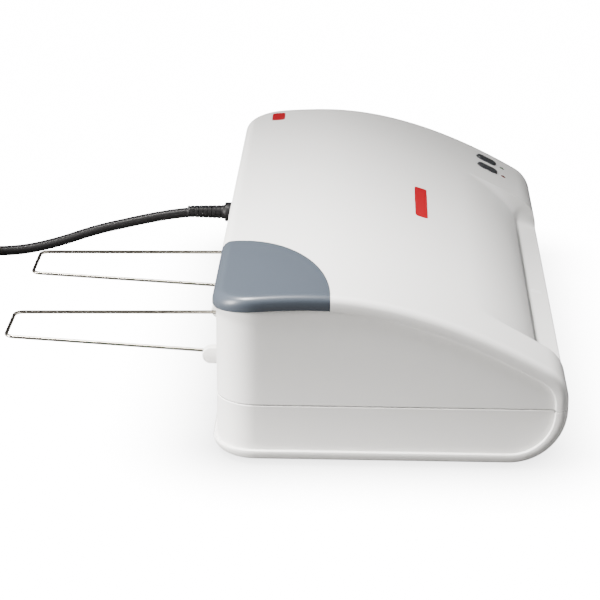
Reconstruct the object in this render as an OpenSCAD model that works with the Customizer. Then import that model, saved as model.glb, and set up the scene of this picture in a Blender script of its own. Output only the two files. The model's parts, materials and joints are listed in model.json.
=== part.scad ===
// Pouch laminator: shells, roller train, heaters, controls, two fold-out wire supports and a mains lead.
// Frame: X across the machine, +Y to the rear (out-feed), +Z up, z = 0 on the table.

/* [Body] */
// Overall width across the machine
body_width = 360; // [320:1:440]
// Depth of the housing, front to rear, without the wire supports
body_depth = 183; // [170:1:225]
// Height of the housing above its own bottom face
body_height = 90.5; // [86:0.5:110]
// Thickness of the moulded housing walls
wall = 2.6; // [2.1:0.1:3.2]
// Height of the parting line above the bottom face
parting_height = 30; // [26:0.5:31]
// How far the end and rear panels are set in from the rim
end_recess = 2; // [1:0.1:2.6]
// Radius of the two rear corners seen from above
rear_corner_r = 23; // [14:1:30]
// Height of the rubber feet below the bottom face
foot_height = 2.5; // [1.5:0.1:4]
// Radius of a rubber foot
foot_r = 7; // [5:0.5:9]

/* [Pouch path] */
// Widest pouch that the entry takes
aperture = 236; // [220:1:240]
// Middle of the pouch path, from the middle of the body
path_x = -15; // [-18:1:-8]
// Height of the pouch path above the bottom face
path_height = 40.4; // [39.5:0.1:42]
// Height of the entry and exit slots
slot_height = 5; // [4.6:0.1:6]
// Depth of the lip in front of the entry slot
lip_depth = 14; // [10:0.5:18]
// Depth of the scoop above the entry, front to rear
scoop_depth = 49.5; // [44:0.5:54]

/* [Rollers and gears] */
// Radius over the silicone sleeve
roller_r = 11; // [10:0.1:11.6]
// Radius of a roller shaft
shaft_r = 4; // [3:0.1:4.6]
// Gap between an upper and a lower sleeve with no pouch in
nip_gap = 0.3; // [0.1:0.1:0.6]
// Distance between the in-feed and the out-feed nips
nip_pitch = 60; // [58:0.5:72]
// Distance from the front of the housing to the in-feed nip
nip_inset = 53.5; // [52:0.5:58]
// How far a sprung upper roller can lift
roller_lift = 1; // [0.5:0.1:1.4]
// Width of the spur gears
gear_w = 8; // [5:0.5:9]
// Thickness of the steel side frames
frame_t = 2; // [1.5:0.1:2.5]

/* [Controls] */
// Width of a push button
button_w = 8; // [6:0.5:10]
// Length of a push button along the slope
button_l = 14; // [11:0.5:16]
// Travel of a push button
button_travel = 1; // [0.6:0.1:1.4]
// Distance between the two buttons
button_pitch = 18; // [15:0.5:20]
// Radius of an indicator lens
lens_r = 1.75; // [1.2:0.05:2.2]

/* [Wire supports] */
// How far the wire supports reach behind the housing
support_reach = 120.5; // [90:0.5:150]
// Radius of the support wire
wire_r = 1; // [0.8:0.05:1.4]
// Distance from the path's middle to each support's inner leg
inner_leg = 22.5; // [16:0.5:30]
// Distance from the path's middle to each support's outer leg
outer_leg = 83.5; // [70:0.5:95]
// How much closer to its own middle each leg stands at the tip
leg_taper = 11.25; // [4:0.25:14]
// Upward tilt of the supports at rest, in degrees
support_tilt = 1.2; // [0:0.1:4]

/* [Mains lead] */
// Diameter of the lead
cord_d = 6.4; // [5.8:0.1:6.8]
// Radius at the middle of the coil's turns
coil_r = 38.5; // [32:0.5:44]

/* [Hidden] */
$fn = 48;
clearance = 0.1;    // fixed pieces that seat in one another
running = 0.05;     // radial clearance of a turning pin or shaft
big = 600;

// Outline of the housing from the end: places of its main lines
y_front = -(body_depth + support_reach) / 2;
y_rear = y_front + body_depth;
z_base = foot_height;
z_part = z_base + parting_height;
z_top = z_base + body_height;
z_path = z_base + path_height;
upper_nose_r = 20;
nose_flat = 5;
nose_end_angle = 120;
crest_back = 51.5;       // crest of the top, in front of the rear face
crest_lead = 40;
rear_fall = 640;         // the top falls by the square of the distance behind the crest over this
rear_top_r = 6;
rear_bottom_r = 5;
front_corner_r = 3;
seam = 0.3;

function arc(c, r, from, to, n) =
    [for (i = [0:n]) let (a = from + (to - from) * i / n) c + r * [cos(a), sin(a)]];
function bezier(p, n, first = 0) =
    [for (i = [first:n]) let (t = i / n, u = 1 - t)
        u * u * u * p[0] + 3 * u * u * t * p[1] + 3 * u * t * t * p[2] + t * t * t * p[3]];
function unit(v) = v / norm(v);
function inward(p, q) = let (d = unit(q - p)) [d[1], -d[0]];
// Moves every side of a clockwise outline inwards by d
function inset(p, d) = [for (i = [0:len(p) - 1])
    let (a = inward(p[(i + len(p) - 1) % len(p)], p[i]), b = inward(p[i], p[(i + 1) % len(p)]))
    p[i] + d * (a + b) / (1 + a * b)];

crest = [y_rear - crest_back, z_top];
nose_c = [y_front + upper_nose_r, z_part + nose_flat];
nose_end = nose_c + upper_nose_r * [cos(nose_end_angle), sin(nose_end_angle)];
nose_dir = [sin(nose_end_angle), -cos(nose_end_angle)];
function rear_top(y) = z_top - pow(y - crest[0], 2) / rear_fall;
fall_angle = atan(2 * (crest_back - rear_top_r) / rear_fall);
rear_arc_y = y_rear - rear_top_r;
rear_arc_z = rear_top(rear_arc_y + rear_top_r * sin(fall_angle)) - rear_top_r * cos(fall_angle);
top_curve = concat(
    arc(nose_c, upper_nose_r, 180, nose_end_angle, 6),
    bezier([nose_end, nose_end + 45 * nose_dir, crest - [crest_lead, 0], crest], 14, 1),
    [for (i = [1:4]) let (y = crest[0] + (crest_back - rear_top_r) * i / 4) [y, rear_top(y)]],
    arc([rear_arc_y, rear_arc_z], rear_top_r, 90 - fall_angle, 0, 4));
profile = concat(
    arc([y_rear - rear_bottom_r, z_base + rear_bottom_r], rear_bottom_r, 0, -90, 4),
    arc([y_front + parting_height, z_part], parting_height, -90, -180, 10),
    top_curve);
function top_z(y) = lookup(y, [for (p = top_curve) if (p[0] < rear_arc_y) p]);

// End panels: the outline set in, lowered a little, and open at the rear
panel_margin = 6.7;
panel_drop = 1.3;
panel_profile = [for (p = inset(profile, panel_margin))
    [p[0] > y_rear - 15 ? y_rear + 5 : p[0], p[1] - panel_drop]];

// Housing seen from above, with its sides, front and rear set in
function plan(side, front, rear) =
    let (x = body_width / 2 - side, y0 = y_front + front, y1 = y_rear - rear,
         r = max(rear_corner_r - side, 2), f = max(front_corner_r - side, 1))
    concat(arc([x - r, y1 - r], r, 0, 90, 8), arc([r - x, y1 - r], r, 90, 180, 8),
        arc([f - x, y0 + f], f, 180, 270, 3), arc([x - f, y0 + f], f, 270, 360, 3));

module along_x(points, x0, x1) {
    translate([x0, 0, 0]) rotate([90, 0, 90]) linear_extrude(x1 - x0) polygon(points);
}
module along_z(points, z0, z1) {
    translate([0, 0, z0]) linear_extrude(z1 - z0) polygon(points);
}
module box_at(low, high) {
    translate(low) cube(high - low);
}
module rod_x(x0, x1, y, z, r) {
    translate([x0, y, z]) rotate([0, 90, 0]) cylinder(h = x1 - x0, r = r);
}
module rod_between(a, b, r) {
    d = b - a;
    translate(a) rotate([0, acos(d[2] / norm(d)), atan2(d[1], d[0])]) cylinder(h = norm(d), r = r);
}

half_w = body_width / 2;
in_side = wall + end_recess;

module body_solid(t = 0, side = 0, rear = 0) {
    intersection() {
        along_x(inset(profile, t), -half_w - 1, half_w + 1);
        along_z(plan(side, -1, rear), 0, z_top + 1);
    }
}
module panel_recess() {
    difference() {
        along_x(panel_profile, -half_w - 1, half_w + 1);
        along_z(plan(end_recess, -20, end_recess), -1, z_top + 1);
    }
}
module cavity() {
    body_solid(wall, in_side, in_side);
}

// Scoop over the entry: a steepening curve down to the slot, then the lip
path_half = aperture / 2;
scoop_left = path_x - path_half - 8;
scoop_right = path_x + path_half + 7;
slot_low = z_path - slot_height / 2;
slot_high = z_path + slot_height / 2;
crease = [y_front + lip_depth, slot_low];
slot_edge = [crease[0], slot_high];
lip_edge_z = slot_low - 3.2;
scoop_start = [y_front + scoop_depth, top_z(y_front + scoop_depth)];
scoop_points = concat(
    [[scoop_start[0], z_top + 40]],
    [[y_front - 30, z_top + 40], [y_front - 30, lip_edge_z], [y_front, lip_edge_z]],
    [crease],
    bezier([slot_edge, slot_edge + 13 * [cos(60), sin(60)],
        scoop_start - 14 * [cos(22), sin(22)], scoop_start], 10));
function reversed(p) = [for (i = [len(p) - 1:-1:0]) p[i]];
module scoop(grow = 0) {
    along_x(inset(reversed(scoop_points), -grow), scoop_left - grow, scoop_right + grow);
}

// Corner cap: a quarter-ellipse of the top skin and rim at the left rear corner
cap_x = 96;
cap_y = 61;
cap_t = 1.4;
module cap_space(g) {
    difference() {
        along_z(concat([for (i = [0:24]) let (a = 90 * i / 24)
            [(cap_x + g) * cos(a) - half_w, y_rear - (cap_y + g) * sin(a)]],
            [[-half_w - 9, y_rear - cap_y - g], [-half_w - 9, y_rear + 9], [cap_x + g - half_w, y_rear + 9]]),
            z_base + body_height * 0.7, z_top + 2);
        body_solid(cap_t + g, cap_t + g, cap_t + g);
        translate([0, 0, -g]) along_x(panel_profile, -half_w - 12, half_w + 12);
    }
}

// Control panel: tangent frame on the right of the scoop
panel_x = (scoop_right + half_w) / 2 + 4.5;
button_y = y_front + 29.5;
lens_y = y_front + 19.3;
panel_tilt = atan((top_z(button_y + 2) - top_z(button_y - 2)) / 4);
button_depth = 6;          // button's foot below the skin
switch_gap = 0.2;
board_drop = button_depth + button_travel + switch_gap + 1;
module on_slope(x, y) {
    translate([x, y, top_z(y)]) rotate([panel_tilt, 0, 0]) children();
}
module stadium(w, l) {
    for (s = [-1, 1]) translate([0, s * (l - w) / 2]) circle(d = w);
    square([w, l - w], center = true);
}
module button(x, tint) {
    color(tint) on_slope(x, button_y) {
        translate([0, 0, -button_depth]) linear_extrude(button_depth + 1.2) stadium(button_w, button_l);
        translate([0, 0, -button_depth]) linear_extrude(1.2) stadium(button_w + 2.4, button_l + 2.4);
    }
}
module lens(x) {
    on_slope(x, lens_y) translate([0, 0, -5]) cylinder(h = 5.4, r = lens_r);
}

// Screw posts that join the two shells
post_r = 3.6;
screw_r = 1.5;
post_x = half_w - 10;
posts = [[-post_x, y_front + 29.5], [post_x, y_front + 29.5], [-post_x + 8, y_rear - 15.5],
    [post_x - 8, y_rear - 15.5], [path_x - path_half - 9, y_rear - in_side - 5.6],
    [path_x + path_half + 9, y_rear - in_side - 5.6]];
feet = [for (x = [-1, 1], y = [y_front + 41.5, y_rear - 16.5]) [x * (half_w - 32), y]];

// Wire support lugs on the rear face
lug_r = 4.6;
lug_t = 6;
lug_z = z_part - 1.2;
lug_y = y_rear + 4.9;
lug_play = 0.8;
function lug_left(side, leg) = // the lug stands outboard of the leg, away from the support's middle
    let (x = path_x + side * leg, out = leg == outer_leg ? side : -side)
    out > 0 ? x + wire_r + lug_play : x - wire_r - lug_play - lug_t;
lugs = [for (side = [-1, 1], leg = [inner_leg, outer_leg]) lug_left(side, leg)];

// Mains lead
relief_x = 147;
relief_z = z_part - 0.5;
relief_r = 4.8;
flange_r = relief_r + 1.6;

module lug(x) {
    rod_x(x, x + lug_t, lug_y, lug_z, lug_r);
    box_at([x, y_rear - in_side + 1, lug_z - lug_r], [x + lug_t, lug_y, lug_z + lug_r]);
}

frame_foot_z = z_base + 6;
left_in = path_x - path_half - 4;
right_in = path_x + path_half + 4;
y_nip = y_front + nip_inset;
y_out = y_nip + nip_pitch;
frame_front = y_nip - 14;
frame_rear = y_out + 14;
board_low = z_base + 9;
board_x0 = right_in + frame_t + 8;
board_x1 = half_w - in_side - 3;
board_y0 = y_front + 57.5;
board_y1 = y_rear - 45.5;
board_posts = [for (x = [board_x0 + 4, board_x1 - 4], y = [board_y0 + 4, board_y1 - 4]) [x, y]];
frame_feet = [for (x = [left_in + 6, right_in - 6], y = [frame_front + 5, frame_rear - 5]) [x, y]];

module base_housing() {
    color("ivory") difference() {
        union() {
            difference() {
                body_solid();
                box_at([-big, -big, z_part - seam / 2], [big, big, big]);
                panel_recess();
                cavity();
            }
            intersection() {
                difference() { // lap lip that the top shell closes over
                    union() {
                        along_z(plan(in_side - 0.6, wall - 0.6, in_side - 0.6), z_part - 4, z_part - seam);
                        along_z(plan(in_side + clearance, wall + clearance, in_side + clearance),
                            z_part - 4, z_part + 1.3);
                    }
                    along_z(plan(in_side + 1.5, wall + 1.5, in_side + 1.5), 0, z_top);
                }
                body_solid(wall / 2, in_side - 0.6, in_side - 0.6);
            }
            for (p = posts) translate([p[0], p[1], z_base + 1]) cylinder(h = z_part - z_base - 1, r = post_r);
            for (p = board_posts) translate([p[0], p[1], z_base + 1]) cylinder(h = board_low - z_base - 1, r = 3);
            for (p = frame_feet) translate([p[0], p[1], z_base + 1]) cylinder(h = frame_foot_z - z_base - 1, r = 4);
            for (x = lugs) lug(x);
        }
        for (p = posts) {
            translate([p[0], p[1], -1]) cylinder(h = z_top, r = screw_r + 0.3);
            translate([p[0], p[1], -1]) cylinder(h = z_base + 8, r = 2.8);
        }
        for (p = concat(board_posts, frame_feet)) translate([p[0], p[1], z_base + 3]) cylinder(h = 20, r = screw_r);
        for (p = feet) translate([p[0], p[1], 0]) cylinder(h = z_base + 1.2, r = foot_r);
        for (x = lugs) rod_x(x - 1, x + lug_t + 1, lug_y, lug_z, wire_r + running);
        for (i = [0:7], s = [-1, 1])
            box_at([path_x + s * 52 - 28, y_nip + 3 + i * 7, 0], [path_x + s * 52 + 28, y_nip + 5.6 + i * 7, 20]);
        relief_hole();
    }
}
module relief_hole() {
    translate([relief_x, y_rear - 12, relief_z]) rotate([-90, 0, 0]) {
        cylinder(h = 30, r = relief_r);
        cylinder(h = 12 - in_side, r = flange_r + clearance);
    }
}

module top_housing() {
    color("whitesmoke") difference() {
        union() {
            difference() {
                body_solid();
                box_at([-big, -big, -1], [big, big, z_part + seam / 2]);
                panel_recess();
                scoop();
                difference() {
                    cavity();
                    scoop(wall);
                }
            }
            intersection() {
                for (p = posts) translate([p[0], p[1], z_part + seam / 2]) cylinder(h = big, r = post_r);
                body_solid(wall / 2, 2, 2);
            }
        }
        for (p = posts) translate([p[0], p[1], 0]) cylinder(h = z_part + 9, r = screw_r);
        box_at([path_x - path_half, y_front - 1, slot_low], [path_x + path_half, y_front + 30, slot_high]);
        box_at([path_x - path_half, y_rear - 12, slot_low], [path_x + path_half, y_rear + 9, slot_high]);
        cap_space(clearance);
        badge_space(clearance);
        for (s = [-1, 1]) {
            on_slope(panel_x + s * button_pitch / 2, button_y)
                translate([0, 0, -4.2]) linear_extrude(12) stadium(button_w + 0.6, button_l + 0.6);
            on_slope(panel_x + s * button_pitch / 2, lens_y)
                translate([0, 0, -9]) cylinder(h = 15, r = lens_r);
        }
        for (x = lugs) box_at([x - 0.4, y_rear - 9, z_part - 1], [x + lug_t + 0.4, y_rear + 20, lug_z + lug_r + 0.4]);
        relief_hole();
        along_z(mark_outline(), mark_z, z_path);
    }
}

module corner_cap() {
    color("slategray") intersection() {
        body_solid();
        cap_space(0);
    }
}

// Plain coloured inlays
badge = [path_x - 3, y_front + 70, 56, 7];
small_badge = [half_w - 26, y_rear - 24.5, 17, 8];
function rounded(b, r) = let (x0 = b[0] + r, y0 = b[1] + r, x1 = b[0] + b[2] - r, y1 = b[1] + b[3] - r)
    concat(arc([x1, y1], r, 0, 90, 6), arc([x0, y1], r, 90, 180, 6),
        arc([x0, y0], r, 180, 270, 6), arc([x1, y0], r, 270, 360, 6));
module badge_space(g) {
    difference() {
        for (b = [badge, small_badge])
            along_z(rounded([b[0] - g, b[1] - g, b[2] + 2 * g, b[3] + 2 * g], 2), z_base + 50, z_top + 2);
        body_solid(0.6 + g);
    }
}
module front_badge() {
    color("crimson") intersection() {
        body_solid();
        badge_space(0);
        box_at([-big, -big, 0], [big, y_rear - 60, big]);
    }
}
module rear_badge() {
    color("crimson") intersection() {
        body_solid();
        badge_space(0);
        box_at([-big, y_rear - 60, 0], [big, big, big]);
    }
}
mark_z = lip_edge_z + 1;
mark_stand = 0.5;          // the pale mark stands this far above the lip
function mark_outline() = rounded([path_x - 3, y_front + 3.5, 6, 7], 2);
module lip_mark() {
    color("white") difference() {
        along_z(mark_outline(), mark_z, slot_low + 0.4);
        translate([0, 0, mark_stand]) scoop();
    }
}

// Pouch guides: thin plates above and below the path
guide_t = 1.6;
roller_clear = 9.5;
function lip_plate(y0, y1, z, s) = // s is +1 for the upper plate, whose mouth turns up
    [[y0, z + s * 2.4], [y0 + 6, z], [y1, z], [y1, z + s * guide_t], [y0 + 6.5, z + s * guide_t],
     [y0, z + s * (guide_t + 2.6)]];
module guide(y0, y1, s, flare = 1) {
    z = z_path + s * slot_height / 2;
    color("dimgray") {
        if (flare > 0) along_x(lip_plate(y0, y1, z, s), path_x - path_half - 2, path_x + path_half + 2);
        else box_at([path_x - path_half - 2, y0, min(z, z + s * guide_t)],
            [path_x + path_half + 2, y1, max(z, z + s * guide_t)]);
        for (e = [-1, 1], x = [path_x + e * (path_half + 2.9)])
            box_at([x - 1.1, y1 - 6, z_path + (s > 0 ? 2.5 : -7)], [x + 1.1, y1, z_path + (s > 0 ? 7 : -2.5)]);
    }
}
entry_y = crease[0] + 6;
upper_entry_y = crease[0] + 12.5;
exit_y = y_rear - in_side - clearance;
module lower_entry_guide() { guide(entry_y, y_nip - roller_clear, -1, 1); }
module upper_entry_guide() { guide(upper_entry_y, y_nip - roller_clear, 1, 1); }
module lower_exit_guide() { exit_guide(-1); }
module upper_exit_guide() { exit_guide(1); }
module exit_guide(s) {
    z = z_path + s * slot_height / 2;
    color("dimgray") {
        box_at([path_x - path_half - 2, y_out + roller_clear, min(z, z + s * guide_t)],
            [path_x + path_half + 2, exit_y, max(z, z + s * guide_t)]);
        for (i = [-4:4]) // stiffening ribs
            box_at([path_x + i * 27 - 0.8, y_out + roller_clear + 6, min(z, z + s * 5)],
                [path_x + i * 27 + 0.8, exit_y - 4, max(z, z + s * 5)]);
    }
}

// Side frames, with round holes for the lower bushes and slots for the sliding ones
frame_top = z_path + 25.6;
bush_r = shaft_r + 1.5;
block_w = 2 * shaft_r + 4;
block_h = 2 * shaft_r + 4;
z_low = z_path - roller_r - nip_gap / 2;
z_high = z_path + roller_r + nip_gap / 2;
idler_teeth = round(nip_pitch - 2 * roller_r);
pinion_teeth = 12;
roller_teeth = round(2 * roller_r);
idler_r = (nip_pitch - roller_teeth) / 2;
y_idler = (y_nip + y_out) / 2;
z_motor = z_low + idler_r + pinion_teeth / 2 + 0.1;
spacers = [[y_idler - 14, z_path + 21.6], [y_idler + 14, z_path + 21.6],
    [y_idler + 2 - idler_r, z_base + 8.5], [y_idler - 2 + idler_r, z_base + 8.5]];
rods = [[frame_front + 4, z_base + 13.5], [frame_rear - 4, z_base + 13.5], [y_idler, z_path + 21.5]];
rod_r = 2.5;
idler_pin_r = 3;
module side_frame(x0, foot_dir) {
    difference() {
        union() {
            along_x([[frame_front, frame_foot_z], [frame_front, z_path + 12], [frame_front + 12, frame_top],
                [frame_rear, frame_top], [frame_rear, frame_foot_z]], x0, x0 + frame_t);
            xf = foot_dir > 0 ? x0 : x0 + frame_t - 12;
            box_at([xf, frame_front, frame_foot_z], [xf + 12, frame_front + 10, frame_foot_z + 2]);
            box_at([xf, frame_rear - 10, frame_foot_z], [xf + 12, frame_rear, frame_foot_z + 2]);
        }
        for (y = [y_nip, y_out]) {
            rod_x(x0 - 1, x0 + frame_t + 1, y, z_low, bush_r);
            box_at([x0 - 1, y - block_w / 2 - clearance, z_high - block_h / 2],
                [x0 + frame_t + 1, y + block_w / 2 + clearance, frame_top - 2]);
        }
        for (p = rods) rod_x(x0 - 1, x0 + frame_t + 1, p[0], p[1], rod_r);
        for (p = frame_feet) translate([p[0], p[1], 0]) cylinder(h = frame_foot_z + 9, r = screw_r + 0.2);
        children();
    }
}
wire_hole = [y_idler + 8, z_path + 14];
module left_side_frame() {
    color("silver") side_frame(left_in - frame_t, 1) {
        rod_x(left_in - 9, left_in + 1, y_idler, z_low, idler_pin_r);
        for (p = spacers) rod_x(left_in - 9, left_in + 1, p[0], p[1], screw_r);
    }
}
module right_side_frame() {
    color("silver") side_frame(right_in, -1) {
        rod_x(right_in - 1, right_in + 9, wire_hole[0], wire_hole[1], 4);
    }
}
module tie_rods() {
    color("gainsboro") for (p = rods) {
        rod_x(left_in - frame_t, right_in + frame_t, p[0], p[1], rod_r);
    }
}
module heat_shield() {
    color("lightgray") {
        box_at([left_in - frame_t, y_nip + 2, frame_top], [right_in + frame_t, frame_rear, frame_top + 0.8]);
        for (i = [0:5]) // pressed stiffening bars
            box_at([left_in + 20 + i * 38, y_nip + 10, frame_top + 0.8],
                [left_in + 32 + i * 38, frame_rear - 12, frame_top + 1.6]);
    }
}

// Heaters: two aluminium plates held between end brackets
plate_t = 3;
plate_gap = 1.5;
plate_y0 = y_nip + roller_r + 2;
plate_y1 = y_out - roller_r - 2;
module heater_plate(s) {
    z = z_path + s * plate_gap;
    color("gainsboro") {
        box_at([path_x - path_half - 1, plate_y0, min(z, z + s * plate_t)],
            [path_x + path_half + 1, plate_y1, max(z, z + s * plate_t)]);
        for (y = [plate_y0 + 1, plate_y1 - 2.5]) // edge ribs of the extrusion
            box_at([path_x - path_half + 4, y, min(z + s * plate_t, z + s * 7)],
                [path_x + path_half - 4, y + 1.5, max(z + s * plate_t, z + s * 7)]);
    }
}
module lower_heater_plate() { heater_plate(-1); }
module upper_heater_plate() { heater_plate(1); }
module heating_element(s) {
    z = z_path + s * (plate_gap + plate_t);
    color("darkgoldenrod") {
        box_at([path_x - path_half + 8, plate_y0 + 7, min(z, z + s * 1.4)],
            [path_x + path_half - 8, plate_y1 - 8, max(z, z + s * 1.4)]);
        for (y = [plate_y0 + 10, plate_y1 - 12])
            box_at([path_x + path_half - 8, y, min(z, z + s * 0.8)], [path_x + path_half + 0.5, y + 2, max(z, z + s * 0.8)]);
    }
}
module lower_heating_element() { heating_element(-1); }
module upper_heating_element() { heating_element(1); }
module heater_brackets() {
    color("darkslategray") difference() {
        for (x = [left_in, path_x + path_half + 0.5])
            box_at([x, plate_y0 - 1, z_path - 13], [x + 3.5, plate_y1 + 1, z_path + 13]);
        box_at([path_x - path_half - 1, plate_y0, z_path - plate_gap - plate_t],
            [path_x + path_half + 1, plate_y1, z_path + plate_gap + plate_t]);
        rod_x(right_in - 9, right_in + 9, wire_hole[0], wire_hole[1], 4);
    }
}
sensor_z = z_path + plate_gap + plate_t + 1.4;
module thermostat() {
    color("tan") {
        translate([path_x + 40, y_idler, sensor_z]) cylinder(h = 6, r = 7);
        box_at([path_x + 32, y_idler - 2, sensor_z + 6], [path_x + 36, y_idler + 2, sensor_z + 9]);
        box_at([path_x + 44, y_idler - 2, sensor_z + 6], [path_x + 48, y_idler + 2, sensor_z + 9]);
    }
}
module thermal_fuse() {
    color("whitesmoke") rod_x(path_x - 30, path_x - 18, y_idler, sensor_z + 2, 2);
    color("silver") rod_x(path_x - 44, path_x - 30, y_idler, sensor_z + 2, 0.6);
    color("silver") rod_x(path_x - 18, path_x - 4, y_idler, sensor_z + 2, 0.6);
}

// Bushes
module lower_bushes() {
    color("khaki") for (y = [y_nip, y_out], side = [-1, 1]) {
        x_in = side < 0 ? left_in : right_in;
        difference() {
            union() {
                rod_x(x_in + (side < 0 ? -frame_t - 1.5 : 0), x_in + (side < 0 ? 0 : frame_t + 1.5), y, z_low, bush_r);
                rod_x(x_in + (side < 0 ? 0 : -1.2), x_in + (side < 0 ? 1.2 : 0), y, z_low, bush_r + 1.5);
            }
            rod_x(x_in - 9, x_in + 9, y, z_low, shaft_r + running);
        }
    }
}
module sliding_bushes(y) {
    color("khaki") for (side = [-1, 1]) {
        x0 = side < 0 ? left_in - frame_t - 1.5 : right_in - 1.5;
        difference() {
            union() {
                box_at([x0, y - block_w / 2, z_high - block_h / 2],
                    [x0 + frame_t + 3, y + block_w / 2, z_high + block_h / 2]);
            }
            rod_x(x0 - 9, x0 + 19, y, z_high, shaft_r + running);
        }
    }
}
module infeed_sliding_bushes() { sliding_bushes(y_nip); }
module outfeed_sliding_bushes() { sliding_bushes(y_out); }

// Pressure springs: a helix swept in rings, between the sliding bush and the frame's upper edge
spring_r = 3;
spring_wire = 0.55;
spring_z0 = z_high + block_h / 2 + spring_wire;
spring_z1 = frame_top - 2 - spring_wire;
module tube(points, r, sides) {
    n = len(points);
    rings = [for (i = [0:n - 1])
        let (d = unit(points[min(i + 1, n - 1)] - points[max(i - 1, 0)]),
             side = abs(d[2]) < 0.9 ? unit(cross(d, [0, 0, 1])) : unit(cross(d, [0, 1, 0])),
             up = cross(d, side))
        for (k = [0:sides - 1]) points[i] + r * (cos(360 * k / sides) * side + sin(360 * k / sides) * up)];
    polyhedron(rings, concat(
        [[for (k = [0:sides - 1]) k]],
        [for (i = [0:n - 2], k = [0:sides - 1]) let (a = i * sides + k, b = i * sides + (k + 1) % sides)
            [a, a + sides, b + sides, b]],
        [[for (k = [sides - 1:-1:0]) (n - 1) * sides + k]]));
}
module spring_at(x, y) {
    turns = 3;
    steps = 12;
    tube([for (i = [0:turns * steps]) let (a = 360 * i / steps)
        [x + spring_r * cos(a), y + spring_r * sin(a), spring_z0 + (spring_z1 - spring_z0) * i / (turns * steps)]],
        spring_wire, 6);
}
module pressure_springs(y) {
    color("silver") for (x = [left_in - frame_t / 2, right_in + frame_t / 2]) spring_at(x, y);
}
module infeed_pressure_springs() { pressure_springs(y_nip); }
module outfeed_pressure_springs() { pressure_springs(y_out); }

// Spur gears of module 1, straight-flanked teeth with backlash
addendum = 0.8;
dedendum = 1.15;
tooth_share = 0.42;
flank = 20;
function gear_points(teeth, phase) = let (
        ro = teeth / 2 + addendum, ri = teeth / 2 - dedendum, w = PI * tooth_share / 2,
        ao = (w - addendum * tan(flank)) / ro * 180 / PI, ai = (w + dedendum * tan(flank)) / ri * 180 / PI)
    [for (i = [0:teeth - 1]) let (a = phase + 360 * i / teeth)
        for (q = [[ri, a - ai], [ro, a - ao], [ro, a + ao], [ri, a + ai]]) q[0] * [cos(q[1]), sin(q[1])]];
gear_x = left_in - frame_t - 4 - gear_w;
module gear(teeth, phase, y, z, bore, tint) {
    color(tint) difference() {
        translate([gear_x, y, z]) rotate([90, 0, 90]) linear_extrude(gear_w) polygon(gear_points(teeth, phase));
        rod_x(gear_x - 1, gear_x + gear_w + 1, y, z, bore);
    }
}
module shaft(y, z) {
    color("silver") rod_x(gear_x - 1.5, right_in + frame_t + 4, y, z, shaft_r);
}
module sleeve(y, z) {
    color("peru") difference() {
        rod_x(path_x - path_half + 2, path_x + path_half - 2, y, z, roller_r);
        rod_x(path_x - path_half, path_x + path_half, y, z, shaft_r);
    }
}
half_tooth = 180 / roller_teeth;
module lower_infeed_shaft() { shaft(y_nip, z_low); }
module lower_infeed_sleeve() { sleeve(y_nip, z_low); }
module lower_infeed_gear() { gear(roller_teeth, 0, y_nip, z_low, shaft_r, "white"); }
module lower_outfeed_shaft() { shaft(y_out, z_low); }
module lower_outfeed_sleeve() { sleeve(y_out, z_low); }
module lower_outfeed_gear() { gear(roller_teeth, 0, y_out, z_low, shaft_r, "white"); }
module upper_infeed_shaft() { shaft(y_nip, z_high); }
module upper_infeed_sleeve() { sleeve(y_nip, z_high); }
module upper_infeed_gear() { gear(roller_teeth, half_tooth, y_nip, z_high, shaft_r, "white"); }
module upper_outfeed_shaft() { shaft(y_out, z_high); }
module upper_outfeed_sleeve() { sleeve(y_out, z_high); }
module upper_outfeed_gear() { gear(roller_teeth, half_tooth, y_out, z_high, shaft_r, "white"); }
module idler_gear() {
    gear(idler_teeth, 180 / idler_teeth, y_idler, z_low, idler_pin_r + running, "lightyellow");
}
module idler_pin() {
    color("silver") {
        rod_x(gear_x - 0.4, left_in, y_idler, z_low, idler_pin_r);
        rod_x(gear_x - 1.4, gear_x - 0.4, y_idler, z_low, idler_pin_r + 1.5);
    }
}

// Gear motor on a bracket outboard of the gears
motor_room = min([for (p = top_curve) norm(p - [y_idler, z_motor])]) - wall - 1.5;
motor_r = min(22, motor_room);
motor_t = 15;
motor_shaft_r = 2;
bracket_t = 1.5;
bracket_x = gear_x - 5 - bracket_t;
motor_ear = 27;
module motor_bracket() {
    color("silver") difference() {
        union() {
            box_at([bracket_x, y_idler - 33, z_base + 4], [bracket_x + bracket_t, y_idler + 33, frame_top]);
            for (p = spacers) rod_x(bracket_x, left_in - frame_t, p[0], p[1], 3);
        }
        for (p = spacers) rod_x(bracket_x - 1, left_in + 1, p[0], p[1], screw_r);
        rod_x(bracket_x - 1, bracket_x + bracket_t + 1, y_idler, z_motor, 5);
        for (s = [-1, 1]) rod_x(bracket_x - 1, bracket_x + bracket_t + 1, y_idler + s * motor_ear, z_motor, screw_r);
        rod_x(bracket_x - 1, bracket_x + bracket_t + 1, y_idler, z_base + 20, 10);
    }
}
module gear_motor() {
    color("darkgray") difference() {
        union() {
            rod_x(bracket_x - motor_t, bracket_x, y_idler, z_motor, motor_r);
            box_at([bracket_x - 2, y_idler - motor_ear - 4, z_motor - 5], [bracket_x, y_idler + motor_ear + 4, z_motor + 5]);
            box_at([bracket_x - motor_t + 2, y_idler + motor_r - 4, z_motor - 8],
                [bracket_x - 3, y_idler + motor_r + 5, z_motor + 8]);
        }
        rod_x(bracket_x - 8, bracket_x + 1, y_idler, z_motor, motor_shaft_r + running);
        for (s = [-1, 1]) rod_x(bracket_x - 9, bracket_x + 1, y_idler + s * motor_ear, z_motor, screw_r);
    }
}
module motor_shaft() {
    color("silver") rod_x(bracket_x - 7.5, gear_x + gear_w, y_idler, z_motor, motor_shaft_r);
}
module motor_pinion() {
    gear(pinion_teeth, 180 / pinion_teeth, y_idler, z_motor, motor_shaft_r, "white");
}

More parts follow.
